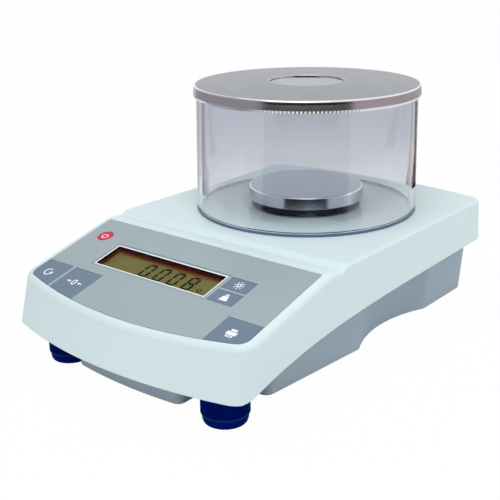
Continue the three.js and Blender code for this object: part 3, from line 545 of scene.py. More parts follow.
# Lower housing
base_clearance = 7
base_wall = 3
base_floor = 2.5
base_edge = 2
base_lean = math.tan(math.radians(4))
base_half = 93.8
base_front_half = 86.5
chin_half = 49
chin_front = -149.5
chin_corner = 6
bay_rear = -108
bay_slant = 5
bay_corner = 7
recess_radius = 113
recess_depth = 10.7
recess_y = 41.5
base_rear = 160.5
base_rear_corner = 8
bay_ceiling = 34
flange_thickness = 2.5
flange_lift = 1
flange_inset = 3.8
flange_blend_share = 0.3
screw_places = [(-80, -54), (-80, 130), (80, -54), (80, 130)]
screw_post_radius = 5
screw_post_sink = 1
screw_post_top = 40
screw_hole_radius = 3.15
screw_head_top = 30

# Sockets in the rear, as (x, width, height)
socket_level = 19.9
serial_box = (22, 31, 12.5)
inlet_box = (-45, 9, 11)
slide_gap = 0.35
socket_cut_front = 9
socket_cut_rear = 4


def base_outline():
    chord = math.sqrt(recess_radius ** 2 - (recess_radius - recess_depth) ** 2)
    swing = math.asin(chord / recess_radius)
    recess_x = base_half - recess_depth + recess_radius
    bay_turn = (base_front_half - bay_corner, bay_rear + bay_slant + bay_corner)
    half = bowed_end(chin_half, chin_front, front_bow, chin_corner, -1)
    half += [(chin_half, bay_rear)]
    half += arc(*bay_turn, bay_corner, -math.pi / 2, 0, corner_steps)
    half += arc(recess_x, recess_y, recess_radius, math.pi + swing, math.pi - swing, waist_steps)
    half += bowed_end(base_half, base_rear, rear_bow, base_rear_corner, 1)[::-1]
    return mirrored(half)


footprint = base_outline()


def flange_height(y):
    return max(parting_height(y) + flange_lift, bay_ceiling)


def flange_top(y):
    return flange_height(y) + flange_thickness


def base_ring(margin, height):
    def level(y):
        return height(y) if callable(height) else height

    ring = inset(footprint, lambda point: margin - base_lean * (level(point[1]) - base_clearance))
    return raised(ring, level)


def base_edge_rings():
    rings = []
    for angle in rounding_angles(edge_steps):
        margin = base_edge * (1 - math.sin(angle))
        rings.append(base_ring(margin, base_clearance + base_edge * (1 - math.cos(angle))))
    return rings


def add_lower_housing():
    tray = loft("base_tray", base_edge_rings() + [base_ring(0, flange_top)], strip_cap)
    outline = inset(between(rim_outline, shoulder_outline, flange_blend_share), flange_inset)
    flange = loft("cutter", [raised(outline, flange_height), raised(outline, flange_top)], strip_cap)
    carve(tray, flange, "UNION")
    cavity_rings = [
        base_ring(base_wall, base_clearance + base_floor),
        base_ring(base_wall, lambda y: flange_top(y) + overrun),
    ]
    carve(tray, loft("cutter", cavity_rings, strip_cap))
    for place in screw_places:
        post = disc_outline(place, screw_post_radius, hole_facets)
        hole = disc_outline(place, screw_hole_radius, hole_facets)
        carve(tray, block(post, base_clearance + screw_post_sink, screw_post_top), "UNION")
        carve(tray, block(hole, base_clearance - overrun, screw_head_top))
    for x, width, height in (serial_box, inlet_box):
        half = width / 2 + slide_gap
        place = (x - half, x + half, base_rear - socket_cut_front, base_rear + socket_cut_rear)
        low, high = socket_level - slide_gap, socket_level + height + slide_gap
        carve(tray, block(box_outline(place), low, high))
    dress(tray, "case", ["base_grey"], "lower_housing")


# Sockets of the lower housing
socket_setback = 0.5
socket_rear = base_rear - socket_setback
socket_depth = 18
serial_corner = 1
serial_mouth = (17, 8.5)
mouth_depth = 6
mouth_floor = socket_rear - mouth_depth
mouth_corner = 1.6
mouth_steps = 6
serial_taper = 1.2
pin_pitch = 2.77
pin_rows = {5: 1.42, 4: -1.42}
pin_radius = 0.5
pin_sink = 0.3
pin_setback = 1
pin_taper_share = 0.6
pin_tip_share = 0.5
jack_nut_reach = 12.5
jack_nut_radius = 2.8
jack_nut_facets = 6
jack_nut_sink = 1
jack_nut_height = 1.6
jack_hole_radius = 1.3
jack_hole_depth = 0.5
inlet_corner = 0.8
inlet_bore = 3.1
inlet_bore_depth = 10
inlet_pin_radius = 1
inlet_pin_sink = 0.5
inlet_pin_setback = 2


def upright_ring(outline, y):
    return [(x, y, z) for x, z in outline]


def rear_loft(name, outline, *places):
    return loft(name, [upright_ring(outline, y) for y in places])


def socket_outline(place, corner):
    x, width, height = place
    half = width / 2
    return box_outline((x - half, x + half, socket_level, socket_level + height), 0, corner)


def serial_finish(centre):
    return "black_plastic" if abs(centre.y - mouth_floor) < weld else "steel"


def add_serial_port():
    x, width, height = serial_box
    middle = socket_level + height / 2
    wide, tall = serial_mouth[0] / 2, serial_mouth[1] / 2
    narrow = wide - serial_taper
    corners = [(-narrow, -tall), (narrow, -tall), (wide, tall), (-wide, tall)]
    mouth = filleted([(x + u, middle + v, mouth_corner) for u, v in corners], mouth_steps)
    outline = socket_outline(serial_box, serial_corner)
    port = rear_loft("serial_body", outline, socket_rear - socket_depth, socket_rear)
    carve(port, rear_loft("cutter", mouth, mouth_floor, socket_rear + overrun))
    finishes = ["steel", "black_plastic"]
    dress(bevelled(port, port_bevel), "case", finishes, "serial_port", serial_finish)
    pins = []
    for count, rise in pin_rows.items():
        for i in range(count):
            place = (x + (i - (count - 1) / 2) * pin_pitch, middle + rise)
            pins.append(pin_shape(place, pin_radius, mouth_floor - pin_sink, socket_rear - pin_setback))
    dress(mesh_piece("serial_pins", *merged(pins)), "case", ["brass"])
    for name, side in (("left_jack_nut", -1), ("right_jack_nut", 1)):
        add_jack_nut(name, (x + side * jack_nut_reach, middle))


def add_jack_nut(name, centre):
    nut_end = socket_rear + jack_nut_height
    sides = disc_outline(centre, jack_nut_radius, jack_nut_facets)
    hole = disc_outline(centre, jack_hole_radius, small_facets)
    nut = rear_loft(name, sides, socket_rear - jack_nut_sink, nut_end)
    carve(nut, rear_loft("cutter", hole, socket_rear - jack_hole_depth, nut_end + overrun))
    dress(bevelled(nut, fine_bevel), "case", ["steel"])


def pin_shape(centre, radius, front, rear):
    taper = rear - radius * pin_taper_share
    rings = [(radius, front), (radius, taper), (radius * pin_tip_share, rear)]
    return capped_shape([upright_ring(disc_outline(centre, size, pin_facets), y) for size, y in rings])


def add_power_inlet():
    x, width, height = inlet_box
    centre = (x, socket_level + height / 2)
    bore_end = socket_rear - inlet_bore_depth
    outline = socket_outline(inlet_box, inlet_corner)
    inlet = rear_loft("power_jack", outline, socket_rear - socket_depth, socket_rear)
    carve(inlet, rear_loft("cutter", disc_outline(centre, inlet_bore), bore_end, socket_rear + overrun))
    dress(bevelled(inlet, jack_bevel), "case", ["black_plastic"], "power_inlet")
    pin = pin_shape(centre, inlet_pin_radius, bore_end - inlet_pin_sink, socket_rear - inlet_pin_setback)
    dress(mesh_piece("power_jack_pin", *pin), "case", ["steel"])


# Screws from below, with a cross slot of (half length, half width)
core_radius = 0.4
screw_head_radius = 2.6
screw_head_low = 27.5
screw_head_round = 0.9
screw_head_edge = 0.2
screw_shank_radius = 1.3
screw_end = 49.7
screw_taper = 1.2
screw_slot = (1.7, 0.4)
screw_slot_depth = 1.2


def add_case_screws():
    profile = filleted([
        (core_radius, screw_head_low, 0),
        (screw_head_radius, screw_head_low, screw_head_round),
        (screw_head_radius, screw_head_top, screw_head_edge),
        (screw_shank_radius, screw_head_top, 0),
        (screw_shank_radius, screw_end - screw_taper, 0),
        (core_radius, screw_end, 0),
    ])
    for i, (x, y) in enumerate(screw_places, 1):
        screw = loft(f"housing_screw_{i}", circles(profile, (x, y), screw_facets))
        for reach, width in (screw_slot, screw_slot[::-1]):
            slot = box_outline((x - reach, x + reach, y - width, y + width))
            carve(screw, block(slot, screw_head_low - overrun, screw_head_low + screw_slot_depth))
        dress(screw, "case", ["steel"], f"case_screw_{i}")


# Panel film and keys

def add_panel_film():
    outline = overlay_outline(0)
    film = loft("panel_film", panel_rings(
        (outline, -overlay_thickness),
        (outline, -overlay_edge),
        (inset(outline, overlay_edge), 0),
    ))
    for place in key_boxes.values():
        carve(film, panel_block(box_outline(place)))
    carve(film, panel_block(disc_outline(power_place, power_radius + seat_gap)))
    carve(film, panel_block(box_outline(window, bezel_rim + seat_gap)))
    dress(bevelled(film, hair_bevel), "case", ["overlay_grey"], "panel_overlay")


def add_plunger(cap, name):
    stem = disc_outline(key_plungers[name], plunger_radius, small_facets)
    carve(cap, panel_block(stem, -plunger_end, -plunger_start), "UNION")


def add_keys():
    outline = overlay_outline(0)
    for name, place in key_boxes.items():
        cap_rings = panel_rings((outline, -key_thickness), (outline, 0))
        cap = loft(name.replace("_key", "_cap"), cap_rings)
        carve(cap, panel_block(box_outline(place, -seat_gap, key_corner), -key_cut, key_cut), "INTERSECT")
        add_plunger(cap, name)
        dress(bevelled(cap, fine_bevel, key_bevel_segments), name, ["key_slate"], name)
    rim = disc_outline(power_place, power_radius, button_facets)
    levels = [(rim, -key_thickness)] + [(inset(rim, margin), -depth) for margin, depth in power_edge]
    cap = loft("power_cap", panel_rings(*levels))
    add_plunger(cap, "power_key")
    dress(cap, "power_key", ["key_red"], "power_key")


# Display: the white frame's lip, its flange under the panel, the pane and the liquid-crystal panel
lip_inside = 0.15
lip_width = 0.9
lip_height = 0.12
# Depth down to which the frame's inside walls are painted black as shade, with reddish brown shade below
frame_shade_depth = 1.9
bezel_corner = 0.4
bezel_flange = 1.5
bezel_flange_thickness = 0.8
pane_corner = 0.3
pane_low = -1.5
pane_top = -0.5
lcd_margin = 3
lcd_thickness = 3.2
lcd_top = -bezel_depth - seat_gap


def add_display():
    flange, flange_level = bezel_rim + bezel_flange, -bezel_depth + bezel_flange_thickness
    profile = [
        (flange, -bezel_depth),
        (flange, flange_level),
        (bezel_rim, flange_level),
        (bezel_rim, -2 * lip_height),
        (bezel_rim - lip_height, -lip_height),
        (lip_width + lip_height / 2, -lip_height),
        (lip_width, 0),
        (lip_inside, 0),
        (0, -lip_inside),
        (0, -frame_shade_depth),
        (0, -bezel_depth),
    ]
    levels = [(box_outline(window, margin, bezel_corner), height) for margin, height in profile]
    border = closed_loft("window_frame", panel_rings(*levels))
    finishes = ["frame_white", "digit_black", "frame_inside", "overlay_grey"]
    dress(border, "case", finishes, "display_bezel", frame_finish)
    pane = box_outline(window, -seat_gap, pane_corner)
    lens = loft("window_pane", panel_rings((pane, pane_low), (pane, pane_top)))
    dress(lens, "case", ["clear"], "display_window")
    glass_outline = box_outline(window, lcd_margin)
    lcd = loft("lcd_glass", panel_rings((glass_outline, lcd_top - lcd_thickness), (glass_outline, lcd_top)))
    dress(bevelled(lcd, fine_bevel), "case", ["lcd_olive"], "lcd_panel")
    figures = mesh_piece("lcd_figures", *merged(figure_shapes()))
    dress(figures, "case", ["digit_black"])


# White lip round the window, and a band in the panel's grey outside. Inside, the walls are painted as the
# shade in the window's recess: black near the top and reddish brown deeper down.
def frame_finish(centre):
    x, y, z = panel_turn.inverted() @ centre
    margin = max(window[0] - x, x - window[1], window[2] - y, y - window[3])
    if margin < weld and z < -lip_inside:
        return "digit_black" if z > -frame_shade_depth else "frame_inside"
    return "overlay_grey" if margin > lip_width else "frame_white"


# Figures on the display: three zeros and an 8, a point after the first one and a ring behind them
figure_count = 4
figure_left = -25.4
figure_front = -46.2
figure_pitch = 13.6
figure_width = 6.3
figure_height = 13.8
figure_lean = math.tan(math.radians(4))
segment_width = 2
segment_gap = 0.15
point_gap = 3
point_low = -0.5
point_size = 1.3
unit_place = (8.2, 3.2)
unit_radii = (2, 1.3)
mark_thickness = 0.06


def segment(start, end):
    along = (Vector(end) - Vector(start)).normalized()
    across = Vector((-along.y, along.x)) * segment_width / 2
    tip = along * segment_width / 2
    first = Vector(start) + along * segment_gap
    last = Vector(end) - along * segment_gap
    low, high = first + tip, last - tip
    return [first, low - across, high - across, last, high + across, low + across]


def figure_shapes():
    low_left, low_right = (0, 0), (figure_width, 0)
    left, right = (0, figure_height / 2), (figure_width, figure_height / 2)
    top_left, top_right = (0, figure_height), (figure_width, figure_height)
    loop = [low_left, low_right, right, top_right, top_left, left]
    ends = list(zip(loop, loop[1:] + loop[:1]))
    flat = []
    for i in range(figure_count):
        shift = figure_left + i * figure_pitch
        lit = ends + [(left, right)] if i == figure_count - 1 else ends
        flat += [[(shift + x, y) for x, y in segment(*pair)] for pair in lit]
    point_left = figure_left + figure_width + point_gap
    flat.append(box_outline((point_left, point_left + point_size, point_low, point_low + point_size)))
    low = lcd_top + mark_thickness / 2
    high = low + mark_thickness
    last_left = figure_left + (figure_count - 1) * figure_pitch
    centre = (last_left + figure_width + unit_place[0], unit_place[1])
    ring = [leaning(disc_outline(centre, radius, small_facets)) for radius in unit_radii]
    return [prism(leaning(outline), low, high) for outline in flat] + [ring_prism(*ring, low, high)]


def leaning(outline):
    return [(x + y * figure_lean, figure_front + y) for x, y in outline]


def prism(outline, low, high):
    return capped_shape(panel_rings((outline, low), (outline, high)))


def ring_prism(outer, inner, low, high):
    return closed_shape(panel_rings((outer, low), (outer, high), (inner, high), (inner, low)))


# Pictograms on the keys, drawn round (0, 0) with X to the right and Y to the rear
stroke_width = 0.75
sign_radius = 2.5
sign_steps = 28
power_arc = (128, 412)
cycle_arc = (70, 345)
sign_scale = 1.3
power_scale = 1
head_half_share = 0.6


def stroke(path, width=stroke_width):
    sides = [[], []]
    for i, point in enumerate(path):
        start, end = path[max(i - 1, 0)], path[min(i + 1, len(path) - 1)]
        out_x, out_y = outward(start, end)
        for side, sign in zip(sides, (1, -1)):
            side.append((point[0] + sign * out_x * width / 2, point[1] + sign * out_y * width / 2))
    return sides[0] + sides[1][::-1]


def arrow_head(tip, direction, size):
    x, y = tip
    dx, dy = direction
    back_x, back_y = x - dx * size, y - dy * size
    side = size * head_half_share
    return [(x, y), (back_x - dy * side, back_y + dx * side), (back_x + dy * side, back_y - dx * side)]


def ellipse(half_width, half_height):
    return [(x * half_width, y * half_height) for x, y in disc_outline((0, 0), 1, hole_facets)]


def sign_arc(middle_y, start, end):
    return arc(0, middle_y, sign_radius, math.radians(start), math.radians(end), sign_steps)


# Each sign gives its solid outlines and its rings, as pairs of an outer and an inner outline.

def power_sign():
    drop, bar_low, bar_top = 0.3, 0.3, 3
    return [stroke(sign_arc(-drop, *power_arc)), stroke([(0, bar_low), (0, bar_top)])], []


def cycle_sign():
    tip, direction, size = (2.75, 1.3), (0.15, 0.99), 2.1
    return [stroke(sign_arc(0, *cycle_arc)), arrow_head(tip, direction, size)], []


def zero_sign():
    wide, tall = 1.55, 2.35
    tip, head_size, tail_start, tail_end = 2.5, 1.7, 3.8, 5.8
    ring = [ellipse(wide - rim, tall - rim) for rim in (0, stroke_width)]
    heads = [arrow_head((side * tip, 0), (-side, 0), head_size) for side in (-1, 1)]
    tails = [stroke([(side * tail_start, 0), (side * tail_end, 0)]) for side in (-1, 1)]
    return heads + tails, [ring]


def print_sign():
    body, paper = (-3, 3, -1.3, 1.1), (-1.8, 1.8, 1.6, 3)
    sheet, opening = (-2, 2, -3, -1.6), (-1.3, 1.3, -2.5, -2)
    return [box_outline(body), box_outline(paper)], [[box_outline(sheet), box_outline(opening)]]


def sun_sign():
    ray_count, ray_start, ray_end, ray_width = 8, 2, 3, 0.6
    disc_radii = (1.5, 0.85)
    rays = []
    for x, y in disc_outline((0, 0), 1, ray_count):
        rays.append(stroke([(reach * x, reach * y) for reach in (ray_start, ray_end)], ray_width))
    return rays, [[disc_outline((0, 0), radius, small_facets) for radius in disc_radii]]


def weight_sign():
    foot, shoulder, low, high = 2.6, 1.7, -2.4, 1
    eye_place, eye_radii = (0, 1.9), (1.15, 0.5)
    body = [(-foot, low), (foot, low), (shoulder, high), (-shoulder, high)]
    return [body], [[disc_outline(eye_place, radius, small_facets) for radius in eye_radii]]


key_signs = {
    "power_key": (power_sign, power_place, power_scale),
    "mode_key": (cycle_sign, (-87, -74.8), sign_scale),
    "tare_key": (zero_sign, (-57, -76.5), sign_scale),
    "print_key": (print_sign, (85.5, -75), sign_scale),
    "backlight_key": (sun_sign, (57, -32.1), sign_scale),
    "calibrate_key": (weight_sign, (57, -47), sign_scale),
}


def moved(outline, place, scale):
    return [(x * scale + place[0], y * scale + place[1]) for x, y in outline]


def add_key_signs():
    low, high = -mark_thickness / 2, mark_thickness / 2
    for key, (draw, *spot) in key_signs.items():
        solids, rings = draw()
        shapes = [prism(moved(outline, *spot), low, high) for outline in solids]
        shapes += [ring_prism(moved(outer, *spot), moved(inner, *spot), low, high) for outer, inner in rings]
        sign = mesh_piece(key.replace("_key", "_sign"), *merged(shapes))
        dress(sign, key, ["mark_white"])


# Levelling feet. The knob's upper edge is given as (drop, inset, share of the rib depth).
foot_places = {"left": (-74.5, -131.3), "right": (74.5, -131.3)}
knob_radius = 16
knob_sole_radius = 13.7
knob_edge = 6
knob_low = 0.8
knob_top = 27
knob_mouth = 0.3
knob_teeth = (76, ((0, 0), (0.3, 0), (0.5, 1), (0.8, 1)))
rib_depth = 0.8
knob_rim = ((1.4, 0, 1), (0.5, 0.4, 0.5), (0, 1, 0))
knob_ridge_gap = 0.4
knob_ridge_height = 0.9
ridge_low = knob_low + knob_edge + knob_ridge_gap
ridge_top = ridge_low + knob_ridge_height
stud_bore = 4.3
stud_bore_low = 8
pad_core = 0.5
pad_radius = 11.6
pad_height = 3.7
pad_edge = 0.6
pad_top_edge = 0.4

# Fixed feet at the rear, each with a plug in the floor
rear_foot_places = {"left": (-56, 129), "right": (56, 129)}
rear_foot_sole = 10.4
rear_foot_radius = 11
rear_foot_height = 6.7
rear_foot_edge = 0.6
rear_sole_edge = 0.8
rear_plug_radius = 3.5
rear_plug_top = 13.5
rear_plug_edge = 0.5


# The knob from the recess over its pad to the bore of its stud, as (radius, rib depth, height)
def knob_profile():
    recess = pad_radius + seat_gap
    rows = [
        (recess, 0, pad_height + seat_gap),
        (recess, 0, knob_low + knob_mouth),
        (recess + knob_mouth, 0, knob_low),
    ]
    for angle in rounding_angles(fillet_steps):
        reach = (knob_radius - rib_depth - knob_sole_radius) * math.sin(angle)
        rows.append((knob_sole_radius + reach, 0, knob_low + knob_edge * (1 - math.cos(angle))))
    rows += [(knob_radius, 0, ridge_low), (knob_radius, rib_depth, ridge_top)]
    for drop, rim_inset, rib_share in knob_rim:
        rows.append((knob_radius - rim_inset, rib_depth * rib_share, knob_top - drop))
    return rows + [(stud_bore, 0, knob_top), (stud_bore, 0, stud_bore_low)]


# The slope above the knob's ridge is painted in a lighter, glossier blue as a highlight.
def knob_finish(centre):
    return "knob_ridge" if ridge_low < centre.z < ridge_top else "knob_navy"


def add_front_feet():
    pad_profile = filleted([
        (pad_core, 0, 0),
        (pad_radius, 0, pad_edge),
        (pad_radius, pad_height, pad_top_edge),
        (pad_core, pad_height, 0),
    ])
    for side, centre in foot_places.items():
        rings = [toothed_ring(knob_teeth, centre, *row) for row in knob_profile()]
        knob = loft(f"{side}_level_wheel", rings)
        replaced = f"front_{side}_foot_knob"
        dress(knob, f"front_{side}_knob", ["knob_navy", "knob_ridge"], replaced, knob_finish)
        pad = loft(f"{side}_level_pad", circles(pad_profile, centre, foot_facets))
        dress(pad, f"front_{side}_pad", ["rubber"], f"front_{side}_foot_pad")


def add_rear_feet():
    profile = filleted([
        (pad_core, 0, 0),
        (rear_foot_sole, 0, rear_sole_edge),
        (rear_foot_radius, rear_foot_height, rear_foot_edge),
        (rear_plug_radius, rear_foot_height, 0),
        (rear_plug_radius, rear_plug_top, rear_plug_edge),
        (pad_core, rear_plug_top, 0),
    ])
    for side, centre in rear_foot_places.items():
        foot = loft(f"{side}_rear_pad", circles(profile, centre, foot_facets))
        dress(foot, "case", ["rubber"], f"rear_{side}_foot")


# Pan and its support
pan_radius = 45
pan_top = 103.6
pan_skirt = 9.2
pan_flare = 0.8
pan_wall = 0.8
pan_edge = 1.2
pan_inner_edge = 0.8
pan_hem = 0.3
pan_face_inset = 1.5
pan_edge_drop = 0.8
support_radius = 43.6
support_top = 102.5
support_bottom = 89.3
support_wall = 1.2
support_edge = 1.2
support_hem = 0.5
support_inner_edge = 0.6
hub_radius = 8.5
hub_bore = 5.3
hub_drop = 8.5
hub_edge = 0.4
hub_root = 1


def reach_of(centre):
    return math.hypot(centre.x - pan_axis[0], centre.y - pan_axis[1])


# The pan's outer edge gets a ring of light steel, painted as a highlight.
def pan_finish(centre):
    if reach_of(centre) < pan_radius - pan_face_inset:
        return "pan_steel"
    return "edge_steel" if centre.z > pan_top - pan_edge_drop else "pan_rim_steel"


def add_pan():
    bottom = pan_top - pan_skirt
    flared = pan_radius + pan_flare
    profile = filleted([
        (core_radius, pan_top, 0),
        (pan_radius, pan_top, pan_edge),
        (flared, bottom, pan_hem),
        (flared - pan_wall, bottom, pan_hem),
        (pan_radius - pan_wall, pan_top - pan_wall, pan_inner_edge),
        (core_radius, pan_top - pan_wall, 0),
    ])
    dish = loft("pan_dish", circles(profile, pan_axis, round_facets))
    finishes = ["pan_steel", "pan_rim_steel", "edge_steel"]
    dress(dish, "weighing_pan", finishes, "weighing_pan", pan_finish)


def add_pan_support():
    ceiling = support_top - support_wall
    inner = support_radius - support_wall
    profile = filleted([
        (core_radius, support_top, 0),
        (support_radius, support_top, support_edge),
        (support_radius, support_bottom, support_hem),
        (inner, support_bottom, support_hem),
        (inner, ceiling, support_inner_edge),
        (hub_radius, ceiling, hub_root),
        (hub_radius, support_top - hub_drop, hub_edge),
        (hub_bore, support_top - hub_drop, hub_edge),
        (hub_bore, ceiling, 0),
        (core_radius, ceiling, 0),
    ])
    support = loft("pan_carrier_ring", circles(profile, pan_axis, round_facets))
    dress(support, "pan_support", ["polished_steel"], "pan_support")


# Draft shield: the plate that it stands on, the tube and the lid
plate_hole = 16
plate_bottom = 86.3
plate_top = 88.3
plate_radius = 87.2
plate_top_radius = 86.75
plate_edge = 0.2
plate_hole_edge = 0.5
foot_reflection_radius = 86.4
shield_base = 88.6
shield_top = 182.4
shield_radius = 86.8
shield_top_radius = 85.2
shield_wall = 3.5
shield_foot_edge = 0.5
shield_top_edge = 1
lid_edge = 183.5
lid_dome = 1.5
lid_radius = 87
lid_wall = 0.8
lid_edge_round = 1.4
lid_shoulder_drop = 2.8
lid_shoulder_bulge = 0.1
lid_shoulder_round = 1.5
lid_bead_radius = 87.6
lid_bead_drop = 6.9
lid_bead = lid_edge - lid_bead_drop
lid_bead_round = 0.4
lid_hem_radius = 86.7
lid_hem_drop = 9
lid_hem = lid_edge - lid_hem_drop
lid_hem_round = 0.3
lid_inner_drop = 0.9
lid_inner_round = 0.6
lid_hole = 28.6
lid_hole_round = 0.7
lid_hole_depth = 2
lid_lip_round = 0.2
crimp_teeth = (190, ((0, 0), (0.25, 0.3), (0.5, 1), (0.75, 0.3)))
crimp_depth = 0.9
crimp_reach = 0.4

# Where the lid's finishes change, and where a light steel is painted as a highlight along its top edge and
# on its crimps
lid_face_inset = 1.2
lid_bright_inset = 1.4
lid_bright_drop = 1
lid_crimp_drop = 7.1


# The plate's rim is painted dark slate as a painted reflection: the dark band seen at the glass tube's foot.
def plate_finish(centre):
    return "seal_slate" if reach_of(centre) > foot_reflection_radius else "plate_clear"


def add_shield():
    plate = filleted([
        (plate_hole, plate_bottom, plate_hole_edge),
        (plate_radius, plate_bottom, plate_edge),
        (plate_top_radius, plate_top, plate_edge),
        (plate_hole, plate_top, plate_hole_edge),
    ])
    floor_plate = closed_loft("shield_base_plate", circles(plate, pan_axis, round_facets))
    dress(floor_plate, "case", ["plate_clear", "seal_slate"], "shield_floor", plate_finish)
    wall = filleted([
        (shield_radius - shield_wall, shield_base, shield_foot_edge),
        (shield_radius, shield_base, shield_foot_edge),
        (shield_top_radius, shield_top, shield_top_edge),
        (shield_top_radius - shield_wall, shield_top, shield_top_edge),
    ])
    tube = closed_loft("shield_tube", circles(wall, pan_axis, round_facets))
    dress(tube, "shield_glass", ["shield_clear"], "shield_glass")


def add_lid():
    crown = lid_edge + lid_dome
    profile = filleted([
        (lid_hole, crown, lid_hole_round),
        (lid_radius, lid_edge, lid_edge_round),
        (lid_radius + lid_shoulder_bulge, lid_edge - lid_shoulder_drop, lid_shoulder_round),
        (lid_bead_radius, lid_bead, lid_bead_round),
        (lid_hem_radius, lid_hem, lid_hem_round),
        (lid_hem_radius - lid_wall, lid_hem, lid_hem_round),
        (lid_bead_radius - lid_wall, lid_bead, lid_bead_round),
        (lid_radius - lid_wall, lid_edge - lid_inner_drop, lid_inner_round),
        (lid_hole + lid_wall, crown - lid_wall, 0),
        (lid_hole + lid_wall, crown - lid_hole_depth, lid_lip_round),
        (lid_hole, crown - lid_hole_depth, lid_lip_round),
    ])
    rings = []
    for radius, height in profile:
        crimped = height < lid_bead and radius > lid_hem_radius - crimp_reach
        rings.append(toothed_ring(crimp_teeth, pan_axis, radius, crimp_depth if crimped else 0, height))
    cover = closed_loft("shield_cover", rings)
    dress(cover, "shield_lid", ["lid_steel", "rim_steel", "edge_steel"], "shield_lid", lid_finish)


def lid_finish(centre):
    reach = reach_of(centre)
    if centre.z > lid_edge and lid_hole + lid_wall < reach < lid_radius - lid_face_inset:
        return "lid_steel"
    painted_highlight_edge = centre.z > lid_edge - lid_bright_drop and reach > lid_radius - lid_bright_inset
    return "edge_steel" if painted_highlight_edge or centre.z < lid_edge - lid_crimp_drop else "rim_steel"


# Plastics, paints and rubber. Each has its colour, roughness, share by which the colour varies,
# grain per metre, depth of the grain and gloss.
plain_finishes = {
    "shell_white": ((208, 226, 229), 0.42, 0.01, 1400, 0.015, 0.4),
    "base_grey": ((152, 169, 182), 0.5, 0.03, 1200, 0.02, 0.4),
    "overlay_grey": ((151, 166, 172), 0.42, 0.015, 1600, 0.01, 0.35),
    "key_slate": ((102, 122, 141), 0.42, 0.03, 1600, 0.01, 0.35),
    "key_red": ((196, 16, 54), 0.4, 0.03, 1600, 0.01, 0.25),
    "frame_white": ((236, 241, 242), 0.35, 0.01, 1400, 0.01, 0.4),
    # Reddish brown painted shade deep on the window's inside walls
    "frame_inside": ((70, 16, 8), 0.6, 0.1, 1400, 0.01, 0.03),
    "mark_white": ((238, 244, 247), 0.5, 0.02, 1600, 0.005, 0.5),
    # Black of the display's figures, also painted as shade high on the window's inside walls
    "digit_black": ((12, 7, 4), 0.5, 0.1, 1600, 0.002, 0.03),
    "knob_navy": ((0, 24, 108), 0.3, 0.08, 1200, 0.015, 0.01),
    # Lighter blue painted as a highlight on the knob's ridge
    "knob_ridge": ((0, 62, 124), 0.3, 0.08, 1200, 0.015, 0.1),
    # Painted reflection of the dark band at the glass tube's foot
    "seal_slate": ((82, 104, 134), 0.35, 0.05, 900, 0.005, 0.3),
    "rubber": ((30, 32, 36), 0.85, 0.1, 1500, 0.05, 0.5),
    "board_green": ((31, 107, 58), 0.45, 0.1, 900, 0.02, 0.5),
    "black_plastic": ((30, 31, 34), 0.5, 0.08, 1200, 0.02, 0.5),
}

# Metals, the same without a gloss
metal_finishes = {
    "steel": ((178, 184, 190), 0.28, 0.04, 1500, 0.01),
    "cast_aluminium": ((190, 194, 197), 0.42, 0.05, 700, 0.05),
    "brass": ((196, 160, 80), 0.32, 0.06, 1500, 0.01),
    "rim_steel": ((188, 184, 188), 0.2, 0.03, 900, 0.004),
    "pan_rim_steel": ((186, 192, 206), 0.18, 0.03, 900, 0.004),
    # Light steel painted as a highlight on the pan's edge, the lid's edge and the lid's crimps
    "edge_steel": ((232, 230, 230), 0.12, 0.02, 900, 0.002),
    "polished_steel": ((46, 48, 60), 0.12, 0.04, 900, 0.002),
}

# Steel brushed in rings, as colour, roughness and depth of the rings
brushed_finishes = {
    "pan_steel": ((164, 172, 184), 0.2, 0.01),
    "lid_steel": ((126, 131, 141), 0.3, 0.01),
}

# Glass, as tint, share of the light that passes into its shadow, index of refraction and a darker tint
# painted near its top as shade
glass_finishes = {
    "shield_clear": ((0.94, 0.955, 0.975), 0.99, 1.45, (0.77, 0.79, 0.85, 1)),
    "plate_clear": ((0.98, 0.99, 1), 0.98, 1.12, None),
    "clear": ((0.97, 0.97, 0.96), 0.98, 1.05, None),
}

# Scales of the noise per metre, and how far it changes a finish
patch_scale = 18
fine_detail = 4
noise_low = 0.3
noise_high = 0.7
rough_share = 0.1
ring_scale = 3500
ring_detail = 2
ring_tone_share = 0.07
wear_scale = 60
wear_share = 0.04
smear_scale = 25
smear_share = 0.005
glass_roughness = (0.01, 0.02)
# Heights between which the glass's painted top shade comes in
top_shade_start = 95
top_shade_end = 150

# Liquid-crystal panel, with a painted shadow along its rear and left edges, where the window's walls shade
# it
lcd_colour = (89, 86, 46)
lcd_painted_shadow_colour = (80, 26, 8)
lcd_gloss = 0.05
lcd_rear_reach = 5
lcd_rear_inset = 0.5
lcd_left_reach = 4
lcd_left_lap = 3
lcd_patch_scale = 120
lcd_patch_share = 0.07
lcd_grain = 600
lcd_roughness = (0.3, 0.4)


# Materials

def linear(value):
    share = value / 255
    return share / 12.92 if share <= 0.04045 else ((share + 0.055) / 1.055) ** 2.4


def colour(red, green, blue):
    return (linear(red), linear(green), linear(blue), 1)


# Sets each input of a node to a value, or links it to another node's output.
def set_inputs(tree, node, inputs):
    for key, value in inputs.items():
        if isinstance(value, bpy.types.NodeSocket):
            tree.links.new(value, node.inputs[key])
        else:
            node.inputs[key].default_value = value
    return node


def new_node(tree, kind, inputs):
    return set_inputs(tree, tree.nodes.new("ShaderNode" + kind), inputs)


def new_material(name):
    material = bpy.data.materials.new(name)
    material.use_nodes = True
    return material, material.node_tree, material.node_tree.nodes["Principled BSDF"]


# Shows the first shader where the factor is 0, and the second one where it is 1.
def show_mixed(tree, output, factor, first, second):
    mix = new_node(tree, "MixShader", {"Fac": factor, 1: first, 2: second})
    set_inputs(tree, tree.nodes[output], {"Surface": mix.outputs["Shader"]})


def light_path(tree):
    return tree.nodes.new("ShaderNodeLightPath").outputs


def object_place(tree):
    return tree.nodes.new("ShaderNodeTexCoord").outputs["Object"]


